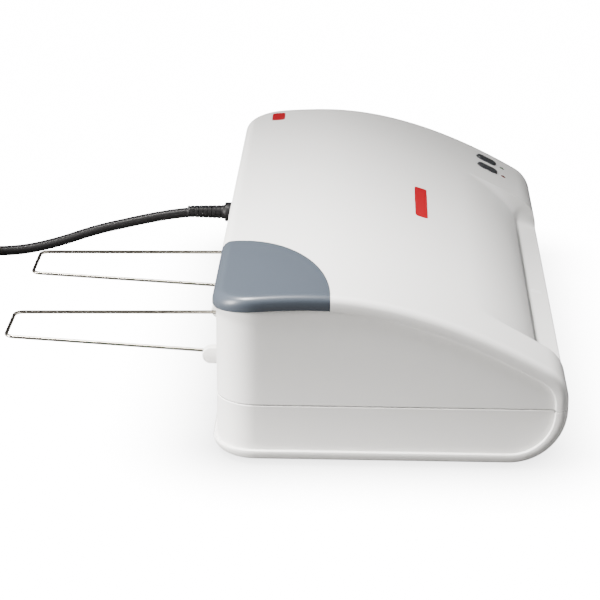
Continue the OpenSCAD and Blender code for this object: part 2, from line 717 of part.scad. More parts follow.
// Electronics at the right-hand end
board_t = 1.6;
board_top = board_low + board_t;
module control_board() {
    color("darkgreen") difference() {
        box_at([board_x0, board_y0, board_low], [board_x1, board_y1, board_top]);
        for (p = board_posts) translate([p[0], p[1], 0]) cylinder(h = z_top, r = screw_r + 0.1);
    }
}
module board_components() {
    bx = board_x0;
    by = board_y0;
    color("gold") box_at([bx + 24, by + 46, board_top], [bx + 50, by + 74, board_top + 24]);      // transformer
    color("dimgray") box_at([bx + 25, by + 12, board_top], [bx + 45, by + 28, board_top + 16]);   // relay
    color("firebrick") box_at([bx + 2, by + 40, board_top], [bx + 10, by + 58, board_top + 14]);  // film capacitor
    color("navy") translate([bx + 15, by + 30, board_top]) cylinder(h = 16, r = 5);               // electrolytic
    color("silver") box_at([bx + 2, by + 12, board_top], [bx + 5, by + 32, board_top + 22]);      // heat sink
    color("white") box_at([bx + 10, by + 68, board_top], [bx + 20, by + 77, board_top + 9]);      // mains terminal
    color("white") box_at([bx + 30, by + 34, board_top], [bx + 46, by + 40, board_top + 7]);      // harness header
}
module panel_board() {
    color("darkgreen") on_slope(panel_x, button_y) {
        translate([-button_pitch / 2 - 8, -18, -board_drop - 1.6]) cube([button_pitch + 16, 28, 1.6]);
    }
    color("dimgray") for (s = [-1, 1]) on_slope(panel_x + s * button_pitch / 2, button_y) {
        translate([-3, -3, -board_drop]) cube([6, 6, 0.8]);
    }
}
module power_button() { button(panel_x - button_pitch / 2, "darkslategray"); }
module mode_button() { button(panel_x + button_pitch / 2, "darkslategray"); }
module power_lens() { color("red") lens(panel_x - button_pitch / 2); }
module ready_lens() { color("green") lens(panel_x + button_pitch / 2); }

// Wires inside the housing, along clipped runs
harness_r = 1.4;
motor_run = [[board_x0 + 36, board_y0 + 37, board_top + 8.2], [board_x0 + 19, board_y0 + 40, board_top + 20],
    [board_x0 - 1, y_rear - 34, z_base + 20], [right_in - 20, y_rear - 24, z_base + 7], [0, y_rear - 22, z_base + 7],
    [left_in + 8, y_rear - 24, z_base + 7], [left_in - 12, y_rear - 34, z_base + 10],
    [bracket_x - 8, y_idler + motor_r + 16, z_base + 24], [bracket_x - 8, y_idler + motor_r + 6.6, z_motor]];
heater_run = [[board_x0 + 12, board_y0 + 72, board_top + 10.6], [board_x0 + 6, y_idler + 30, z_path + 6],
    [right_in + 14, y_idler + 12, wire_hole[1]], [right_in + 4, wire_hole[0], wire_hole[1]],
    [right_in - 6, wire_hole[0], wire_hole[1]], [path_x + 80, y_idler + 5, z_path + 16],
    [path_x + 46, y_idler, sensor_z + 10.6]];
mains_run = [[relief_x, y_rear - 13, relief_z], [relief_x - 4, y_rear - 20, relief_z + 3],
    [board_x0 + 20, y_rear - 30, relief_z], [board_x0 + 17, board_y0 + 73, board_top + 12]];
function smooth(p, i, t) = let (a = p[max(i - 1, 0)], b = p[i], c = p[i + 1], d = p[min(i + 2, len(p) - 1)])
    0.5 * ((2 * b) + (c - a) * t + (2 * a - 5 * b + 4 * c - d) * t * t + (3 * b - a - 3 * c + d) * t * t * t);
function smoothed(p, n) = concat([for (i = [0:len(p) - 2], k = [0:n - 1]) smooth(p, i, k / n)], [p[len(p) - 1]]);
module wiring_harness() {
    color("black") {
        tube(smoothed(motor_run, 4), harness_r, 6);
        tube(smoothed(heater_run, 4), harness_r, 6);
        tube(smoothed(mains_run, 4), harness_r, 6);
    }
}

module rubber_feet() {
    color("dimgray") for (p = feet) difference() {
        translate([p[0], p[1], 0]) cylinder(h = z_base + 1.2, r = foot_r);
        translate([p[0], p[1], -1]) cylinder(h = 2, r = foot_r - 3);
    }
}
module screw(length) {
    translate([0, 0, -2]) cylinder(h = 2, r = 2.6);
    cylinder(h = length, r = screw_r);
}
module screws() {
    color("dimgray") {
        for (p = posts) translate([p[0], p[1], z_base + 7]) screw(z_part + 8 - z_base - 7);
        for (p = board_posts) translate([p[0], p[1], board_top]) mirror([0, 0, 1]) screw(7);
        for (p = frame_feet) translate([p[0], p[1], frame_foot_z + 2]) mirror([0, 0, 1]) screw(6);
        for (s = [-1, 1]) translate([bracket_x + bracket_t, y_idler + s * motor_ear, z_motor]) rotate([0, -90, 0]) screw(6);
        for (p = spacers) translate([left_in, p[0], p[1]]) rotate([0, -90, 0]) screw(left_in - bracket_x - 1);
    }
}

// Wire supports: one wire each, from lug to lug round a straight tip bar
tip_y = y_front + body_depth + support_reach - lug_y - wire_r;
bend_r = 5;
bend_steps = 4;
// Rounds the corner at b of the line a-b-c
function corner(a, b, c, r) = let (
        u = unit(a - b), v = unit(c - b), half = acos(u * v) / 2, back = r / tan(half),
        m = b + unit(u + v) * r / sin(half), p = b + u * back - m, q = b + v * back - m,
        turn = acos(unit(p) * unit(q)))
    [for (i = [0:bend_steps]) let (t = i / bend_steps)
        m + (p * sin((1 - t) * turn) + q * sin(t * turn)) / sin(turn)];
module wire_support(side) {
    inner = path_x + side * inner_leg;
    outer = path_x + side * outer_leg;
    pin = lug_t + lug_play + wire_r - 0.5;
    pts = [[outer + side * pin, 0, 0], [outer, 0, 0], [outer - side * leg_taper, tip_y, 0],
        [inner + side * leg_taper, tip_y, 0], [inner, 0, 0], [inner - side * pin, 0, 0]];
    heel_r = wire_r * 1.6;
    bends = concat(corner(pts[0], pts[1], pts[2], heel_r), corner(pts[1], pts[2], pts[3], bend_r),
        corner(pts[2], pts[3], pts[4], bend_r), corner(pts[3], pts[4], pts[5], heel_r));
    first = bends[0];
    last = bends[len(bends) - 1];
    overlap = [side * 0.5, 0, 0];
    color("silver") translate([0, lug_y, lug_z]) rotate([support_tilt, 0, 0]) {
        tube(concat([first + overlap], bends, [last - overlap]), wire_r - 0.01, 12);
        for (end = [[pts[0], first], [pts[5], last]])
            rod_x(min(end[0][0], end[1][0]), max(end[0][0], end[1][0]), 0, 0, wire_r);
    }
}
module left_wire_support() { wire_support(-1); }
module right_wire_support() { wire_support(1); }

// Mains lead: strain relief, lead, coil and plug
cord_r = cord_d / 2;
collar_r = 6.25;
collar_l = 13.5;           // how far the collar stands behind the rear face
boot_l = 24;
module strain_relief() {
    inner_y = y_rear - in_side - 3;
    collar_y = y_rear - end_recess;
    collar_end = y_rear + collar_l;
    color("black") difference() {
        translate([relief_x, 0, relief_z]) rotate([-90, 0, 0]) {
            translate([0, 0, inner_y]) cylinder(h = collar_y - inner_y, r = relief_r);
            translate([0, 0, inner_y]) cylinder(h = 2.8, r = flange_r);
            translate([0, 0, collar_y]) cylinder(h = collar_end - collar_y, r = collar_r);
            translate([0, 0, collar_end]) cylinder(h = boot_l, r1 = cord_r + 1.2, r2 = cord_r + 0.5);
        }
        translate([relief_x, inner_y - 1, relief_z]) rotate([-90, 0, 0]) cylinder(h = 80, r = cord_r);
    }
}
// Distance behind the rear face and height of the lead's middle
cord_run = [[-11.25, relief_z], [-0.25, relief_z], [13.75, relief_z], [26.75, relief_z],
    [39.75, 31], [52.75, 29], [65.75, 26.3], [78.75, 23.2], [91.75, 20], [104.75, 16],
    [116.75, 11.8], [128.75, 8.2], [140.75, 5.4], [152.75, 3.8], [164.75, 3.3], [178.75, 3.3],
    [210.75, 3.3]];
cord_route = [for (p = cord_run) [relief_x, y_rear + p[0], p[1]]];
coil_bottom = 0.1;
coil_centre = [relief_x - coil_r - cord_d, y_rear + 218.75];
coil_out_y = coil_centre[1] + coil_r + cord_d;   // the lead leaves the top outer turn here
coil_out_z = coil_bottom + 1.5 * cord_d;
plug_x = coil_centre[0] - 62;
plug_z = coil_bottom + 11;
module power_cord() {
    color("black") {
        tube(cord_route, cord_r, 10);
        tube([[coil_centre[0] - 12, coil_out_y, coil_out_z], [coil_centre[0] - 16, coil_out_y, coil_out_z],
            [plug_x + 41, coil_out_y, plug_z], [plug_x + 36, coil_out_y, plug_z]], cord_r, 10);
    }
}
module cord_coil() {
    color("black") translate([coil_centre[0], coil_centre[1], coil_bottom]) rotate_extrude($fn = 64)
        translate([coil_r - 1.5 * cord_d, 0]) square([3 * cord_d, 2 * cord_d]);
}
module mains_plug() {
    translate([plug_x, coil_out_y, plug_z]) rotate([0, 0, 180]) {
        color("black") {
            intersection() {
                translate([-12, 0, 0]) rotate([0, 90, 0]) linear_extrude(30) stadium(22, 36);
                box_at([-12, -18, -11], [18, 18, 11]);
            }
            translate([-36, 0, 0]) rotate([0, 90, 0]) cylinder(h = 24, r1 = cord_r + 1, r2 = 7.5);
        }
        color("silver") for (s = [-1, 1]) rod_x(18, 37, s * 9.5, 0, 2.4);
    }
}

base_housing();
top_housing();
corner_cap();
front_badge();
rear_badge();
lip_mark();
lower_entry_guide();
upper_entry_guide();
lower_exit_guide();
upper_exit_guide();
left_side_frame();
right_side_frame();
tie_rods();
heat_shield();
heater_brackets();
lower_heater_plate();
upper_heater_plate();
lower_heating_element();
upper_heating_element();
thermostat();
thermal_fuse();
lower_bushes();
infeed_sliding_bushes();
outfeed_sliding_bushes();
infeed_pressure_springs();
outfeed_pressure_springs();
lower_infeed_shaft();
lower_infeed_sleeve();
lower_infeed_gear();
lower_outfeed_shaft();
lower_outfeed_sleeve();
lower_outfeed_gear();
upper_infeed_shaft();
upper_infeed_sleeve();
upper_infeed_gear();
upper_outfeed_shaft();
upper_outfeed_sleeve();
upper_outfeed_gear();
idler_pin();
idler_gear();
motor_bracket();
gear_motor();
motor_shaft();
motor_pinion();
control_board();
board_components();
panel_board();
power_button();
mode_button();
power_lens();
ready_lens();
wiring_harness();
rubber_feet();
screws();
left_wire_support();
right_wire_support();
strain_relief();
power_cord();
cord_coil();
mains_plug();
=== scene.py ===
import bpy
import bmesh
import json
import math
import numpy as np
from mathutils import Matrix, Vector

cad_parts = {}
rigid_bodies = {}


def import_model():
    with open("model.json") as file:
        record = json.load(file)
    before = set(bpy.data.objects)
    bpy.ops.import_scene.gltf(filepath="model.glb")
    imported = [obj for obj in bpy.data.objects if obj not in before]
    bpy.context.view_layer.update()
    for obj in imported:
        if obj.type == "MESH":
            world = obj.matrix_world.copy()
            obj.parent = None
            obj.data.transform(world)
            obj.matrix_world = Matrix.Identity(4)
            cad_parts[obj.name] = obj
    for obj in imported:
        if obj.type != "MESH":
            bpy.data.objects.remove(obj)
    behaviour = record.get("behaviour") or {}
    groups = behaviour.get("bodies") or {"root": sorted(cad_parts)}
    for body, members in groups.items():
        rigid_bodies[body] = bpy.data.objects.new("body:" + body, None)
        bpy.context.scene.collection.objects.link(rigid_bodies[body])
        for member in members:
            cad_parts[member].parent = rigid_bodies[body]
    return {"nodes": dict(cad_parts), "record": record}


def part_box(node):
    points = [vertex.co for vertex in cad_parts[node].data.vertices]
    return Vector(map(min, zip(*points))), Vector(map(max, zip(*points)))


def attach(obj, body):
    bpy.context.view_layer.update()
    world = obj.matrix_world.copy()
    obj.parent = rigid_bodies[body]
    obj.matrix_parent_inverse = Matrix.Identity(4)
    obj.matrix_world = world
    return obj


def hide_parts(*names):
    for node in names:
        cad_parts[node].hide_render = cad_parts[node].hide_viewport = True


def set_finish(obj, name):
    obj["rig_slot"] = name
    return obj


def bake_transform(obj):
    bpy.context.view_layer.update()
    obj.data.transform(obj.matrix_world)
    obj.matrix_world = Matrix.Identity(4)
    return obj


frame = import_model()


def say(stage):
    print("stage:", stage, flush=True)


def writeSize():
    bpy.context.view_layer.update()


writeSize()

# Camera
camSet = {"place": (-1.2791, -0.05165, 0.4894), "lens": 139.8, "sensor": 36.0,
          "right": (0.0346824, -0.99939419, 0.0028766), "up": (0.34037151, 0.01451876, 0.94017895),
          "back": (-0.9396512, -0.03163007, 0.34066885)}
camData = bpy.data.cameras.new("camera")
camData.lens, camData.sensor_width = camSet["lens"], camSet["sensor"]
camData.clip_start, camData.clip_end = 0.05, 20
camera = bpy.data.objects.new("camera", camData)
bpy.context.scene.collection.objects.link(camera)
axes = Matrix((camSet["right"], camSet["up"], camSet["back"])).transposed().to_4x4()
camera.matrix_world = Matrix.Translation(camSet["place"]) @ axes
bpy.context.scene.camera = camera

# Places on the frame, in millimetres
mm = 1000.0
topLow, topHigh = [np.array(v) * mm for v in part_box("top_housing")]
baseLow = np.array(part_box("base_housing")[0]) * mm
halfW, yFront, yRear = topHigh[0], topLow[1], topHigh[1]
zTop, zBase = topHigh[2], baseLow[2]
zPart = zBase + 30.0
slotLow = zBase + 37.9
slotHigh = slotLow + 5.0
crestY = yRear - 51.5
crown = 640.0  # the top falls away by distance squared over this


# Mesh helpers
def newObject(name, verts, faces, smooth=30.0):
    mesh = bpy.data.meshes.new(name)
    mesh.from_pydata([tuple(np.asarray(v, float) / mm) for v in verts], [], [tuple(f) for f in faces])
    o = bpy.data.objects.new(name, mesh)
    bpy.context.scene.collection.objects.link(o)
    tidyMesh(o, smooth)
    return o


def tidyMesh(o, smooth=30.0, weld=1e-6):
    bm = bmesh.new()
    bm.from_mesh(o.data)
    bmesh.ops.remove_doubles(bm, verts=bm.verts, dist=weld)
    bmesh.ops.dissolve_degenerate(bm, edges=bm.edges, dist=weld / 2)
    bmesh.ops.recalc_face_normals(bm, faces=bm.faces)
    bm.to_mesh(o.data)
    bm.free()
    shadeByAngle(o, smooth)


def shadeByAngle(o, smooth):
    for p in o.data.polygons:
        p.use_smooth = True
    o.data.set_sharp_from_angle(angle=math.radians(smooth))


def cutWith(o, cutter, how="DIFFERENCE", smooth=30.0, keep=False):
    m = o.modifiers.new("cut", "BOOLEAN")
    m.operation, m.object, m.solver = how, cutter, "EXACT"
    bake(o)
    if not keep:
        bpy.data.objects.remove(cutter)
    shadeByAngle(o, smooth)


def bake(o):
    graph = bpy.context.evaluated_depsgraph_get()
    graph.update()
    mesh = bpy.data.meshes.new_from_object(o.evaluated_get(graph))
    o.modifiers.clear()
    o.data = mesh


def joined(name, objects):
    bm = bmesh.new()
    for o in objects:
        bm.from_mesh(o.data)
    mesh = bpy.data.meshes.new(name)
    bm.to_mesh(mesh)
    bm.free()
    for o in objects:
        bpy.data.objects.remove(o)
    out = bpy.data.objects.new(name, mesh)
    bpy.context.scene.collection.objects.link(out)
    return out


def copied(o, name):
    c = bpy.data.objects.new(name, o.data.copy())
    bpy.context.scene.collection.objects.link(c)
    return c


def prism(name, outline, low, high, place=None):
    n = len(outline)
    pts = [(x, y, low) for x, y in outline] + [(x, y, high) for x, y in outline]
    if place:
        pts = [place @ Vector(p) for p in pts]
    faces = [list(range(n))[::-1], list(range(n, 2 * n))]
    faces += [[i, (i + 1) % n, n + (i + 1) % n, n + i] for i in range(n)]
    return newObject(name, pts, faces)


def boxOf(name, low, high):
    corners = [(low[0], low[1]), (high[0], low[1]), (high[0], high[1]), (low[0], high[1])]
    return prism(name, corners, low[2], high[2])


def lathe(name, profile, place, steps=48, smooth=30.0):
    verts, faces = [], []
    for r, h in profile:
        for k in range(steps):
            a = 2 * math.pi * k / steps
            verts.append(place @ Vector((r * math.cos(a), r * math.sin(a), h)))
    for j in range(len(profile) - 1):
        for k in range(steps):
            a, b = j * steps + k, j * steps + (k + 1) % steps
            faces.append([a, b, b + steps, a + steps])
    faces.append(list(range(steps))[::-1])
    faces.append([(len(profile) - 1) * steps + k for k in range(steps)])
    return newObject(name, verts, faces, smooth)


def rounded(cx, cy, w, h, r, n=6):
    pts = []
    for sx, sy, a0 in ((1, 1, 0), (-1, 1, 90), (-1, -1, 180), (1, -1, 270)):
        for i in range(n + 1):
            a = math.radians(a0 + 90 * i / n)
            pts.append((cx + sx * (w / 2 - r) + r * math.cos(a), cy + sy * (h / 2 - r) + r * math.sin(a)))
    return pts


def stacked(name, outlineAt, levels, place, smooth=30.0):
    rings = [outlineAt(d) for d, h in levels]
    n = len(rings[0])
    verts = [place @ Vector((x, y, h)) for ring, (d, h) in zip(rings, levels) for x, y in ring]
    faces = [[j * n + i, j * n + (i + 1) % n, (j + 1) * n + (i + 1) % n, (j + 1) * n + i]
             for j in range(len(rings) - 1) for i in range(n)]
    faces += [list(range(n))[::-1], [(len(rings) - 1) * n + i for i in range(n)]]
    return newObject(name, verts, faces, smooth)


def smoothPath(points, per):
    p = [np.array(q, float) for q in points]
    out = []
    for i in range(len(p) - 1):
        a, b, c, d = p[max(i - 1, 0)], p[i], p[i + 1], p[min(i + 2, len(p) - 1)]
        for k in range(per):
            t = k / per
            out.append(0.5 * (2 * b + (c - a) * t + (2 * a - 5 * b + 4 * c - d) * t * t
                              + (3 * b - a - 3 * c + d) * t ** 3))
    return out + [p[-1]]


def tubeAlong(name, points, radii, sides=16, smooth=40.0):
    pts = [np.array(p, float) for p in points]
    side = None
    verts, faces = [], []
    for i, p in enumerate(pts):
        d = pts[min(i + 1, len(pts) - 1)] - pts[max(i - 1, 0)]
        d /= np.linalg.norm(d)
        if side is None:
            side = np.cross(d, (0, 0, 1) if abs(d[2]) < 0.9 else (0, 1, 0))
        side = side - d * side.dot(d)
        side /= np.linalg.norm(side)
        up = np.cross(d, side)
        r = radii[i] if hasattr(radii, "__len__") else radii
        for k in range(sides):
            a = 2 * math.pi * k / sides
            verts.append(p + r * (math.cos(a) * side + math.sin(a) * up))
    for i in range(len(pts) - 1):
        for k in range(sides):
            a, b = i * sides + k, i * sides + (k + 1) % sides
            faces.append([a, b, b + sides, a + sides])
    faces.append(list(range(sides))[::-1])
    faces.append([(len(pts) - 1) * sides + k for k in range(sides)])
    return newObject(name, verts, faces, smooth)


# Mains lead
cordSet = {"radius": 3.2, "coilR": 38.5, "pitch": 6.4, "low": 3.3, "inner": 0.7, "tailEnd": 36.0}
cordRoute = [(0.147, 0.0310, 0.0320), (0.147, 0.0450, 0.0320), (0.147, 0.0580, 0.0320),
             (0.147, 0.0710, 0.0310), (0.147, 0.0840, 0.0290), (0.147, 0.0970, 0.0263),
             (0.147, 0.1100, 0.0232), (0.147, 0.1230, 0.0200), (0.147, 0.1360, 0.0160),
             (0.147, 0.1480, 0.0118), (0.147, 0.1600, 0.0082), (0.147, 0.1720, 0.0054),
             (0.147, 0.1840, 0.0038), (0.147, 0.1960, 0.0033), (0.147, 0.2100, 0.0033),
             (0.147, 0.2300, 0.0033)]
plugLow, plugHigh = [np.array(v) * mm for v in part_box("mains_plug")]
coilLow, coilHigh = [np.array(v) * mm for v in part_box("cord_coil")]
coilMid = (coilLow + coilHigh) / 2
plugY, plugX = (plugLow[1] + plugHigh[1]) / 2, plugHigh[0] - 36.0


def cordPoints(s):
    pts = smoothPath([np.array(p) * mm for p in cordRoute], 4)
    outer, pitch, turn = s["coilR"] + s["pitch"], s["pitch"], 2 * math.pi
    steps = 40
    for i in range(1, int(5.25 * steps) + 1):
        a = turn * i / steps
        if a <= 2 * turn:  # lower layer, inwards
            r, z = outer - pitch * a / turn, s["low"]
        elif a <= 3 * turn:  # climbs inside the lower layer
            b = (a - 2 * turn) / turn
            r = outer - 2 * pitch - (pitch * b if b < 0.5 else pitch * 0.5 - (b - 0.5) * pitch * 0.5)
            c = min(b / 0.75, 1)
            z = s["low"] + pitch * c * c * (3 - 2 * c)
        else:  # upper layer, outwards
            r, z = outer - pitch * (5.25 - a / turn), s["low"] + pitch
        pts.append(np.array([coilMid[0] + r * math.cos(a), coilMid[1] + r * math.sin(a), z]))
    end = pts[-1]
    zPlug = (plugLow[2] + plugHigh[2]) / 2
    goal = np.array([plugX + s["tailEnd"] - 2, plugY, zPlug])
    for t in np.linspace(0, 1, 9)[1:]:
        q = end + (goal - end) * t
        q[2] = end[2] + (goal[2] - end[2]) * t * t * (3 - 2 * t)
        pts.append(q)
    return pts


cordLine = cordPoints(cordSet)
cordLength = float(sum(np.linalg.norm(b - a) for a, b in zip(cordLine, cordLine[1:]))) / mm
print("lead length", round(cordLength, 4), flush=True)
lead = tubeAlong("mains_lead", cordLine, cordSet["radius"], 20, 60.0)
say("lead")


# Outline of the shells from the end
def topZ(y):
    return zTop - (y - crestY) ** 2 / crown


def bezierPoints(p, n):
    t = np.linspace(0, 1, n + 1)[:, None]
    p = [np.array(q, float) for q in p]
    return (1 - t) ** 3 * p[0] + 3 * (1 - t) ** 2 * t * p[1] + 3 * (1 - t) * t * t * p[2] + t ** 3 * p[3]


def arcPoints(c, r, a0, a1, n):
    a = np.radians(np.linspace(a0, a1, n + 1))
    return np.stack([c[0] + r * np.cos(a), c[1] + r * np.sin(a)], 1)


noseC = np.array([yFront + 20.0, zPart + 5.0])
noseEnd = noseC + 20 * np.array([math.cos(math.radians(120)), math.sin(math.radians(120))])
noseDir = np.array([math.sin(math.radians(120)), -math.cos(math.radians(120))])
crest = np.array([crestY, zTop])
seamTop, seamBase = zPart + 0.17, zPart - 0.17
frontLine = np.vstack([[[yFront, seamTop], [yFront, seamTop + 0.4]], arcPoints(noseC, 20, 180, 120, 24),
                       bezierPoints([noseEnd, noseEnd + 45 * noseDir, crest - [40, 0], crest], 90)[1:]])
lineS = np.concatenate([[0], np.cumsum(np.linalg.norm(np.diff(frontLine, axis=0), axis=1))])


def alongFront(s):
    return np.stack([np.interp(s, lineS, frontLine[:, 0]), np.interp(s, lineS, frontLine[:, 1])], -1)


# Scoop section: face under the lip, lip, slot band, then the curve up to the top
scoopSet = {"lipDepth": 14.0, "depth": 49.5, "lipDrop": 3.2, "right": 110.0, "softLeft": 134.0,
            "a": 13.0, "b": 14.0, "angleA": 60.0, "angleB": 22.0, "slotLeft": -133.0, "slotRight": 103.0}
slotLeft, slotRight = scoopSet["slotLeft"], scoopSet["slotRight"]
creaseP = np.array([yFront + scoopSet["lipDepth"], slotLow])
startY = yFront + scoopSet["depth"]
startS = float(np.interp(startY, frontLine[:, 0], lineS))
startP = alongFront(startS)
angA, angB = math.radians(scoopSet["angleA"]), math.radians(scoopSet["angleB"])
slotP = np.array([creaseP[0], slotHigh])
scoopCurve = bezierPoints([slotP, slotP + scoopSet["a"] * np.array([math.cos(angA), math.sin(angA)]),
                           startP - scoopSet["b"] * np.array([math.cos(angB), math.sin(angB)]), startP], 80)


def scoopRows():
    rows = []
    lipZ = slotLow - scoopSet["lipDrop"]
    for z in (seamTop, seamTop + 0.4, lipZ - 2.4, lipZ - 0.9):
        rows.append((z - seamTop, (yFront, z)))
    for a in (30, 60, 90):
        t = math.radians(a)
        rows.append((lipZ - seamTop - 0.9 + 0.9 * math.sin(t) + 0.7,
                     (yFront + 0.9 * (1 - math.cos(t)), lipZ - 0.9 * (1 - math.sin(t)))))
    for k in range(1, 9):
        t = k / 8
        rows.append((5.3 + 13.2 * t,
                     (yFront + 0.9 + (scoopSet["lipDepth"] - 0.9) * t, lipZ + (slotLow - lipZ) * t ** 1.15)))
    band = (len(rows) - 1, len(rows) + 2)
    for k in range(1, 4):
        t = k / 3
        rows.append((18.5 + 6.0 * t, tuple(creaseP + (slotP - creaseP) * t)))
    restS = np.concatenate([[0], np.cumsum(np.linalg.norm(np.diff(scoopCurve, axis=0), axis=1))])
    n = 34
    for k in range(1, n + 1):
        t = k / n
        q = [np.interp(t * restS[-1], restS, scoopCurve[:, i]) for i in (0, 1)]
        rows.append((24.5 + (startS - 24.5) * t, tuple(q)))
    return rows, band


def scoopWeight(x):
    s = scoopSet
    u = np.clip((x + 147.0) / (147.0 - s["softLeft"]), 0, 1)
    near = u * u * (3 - 2 * u)
    t = np.clip((s["right"] - x) / (s["right"] - s["slotRight"]), 0, 1)
    far = 1 - (1 - t) ** 3
    return np.where(x < 0, near, far)


shellSet = {"fillet": 3.7, "rearFillet": 6.0, "cornerR": 23.0, "cornerSteps": 12, "rim": 6.7, "drop": 1.3,
            "step": 2.0, "filletSteps": 7, "wall": 2.4, "chamfer": 0.3}


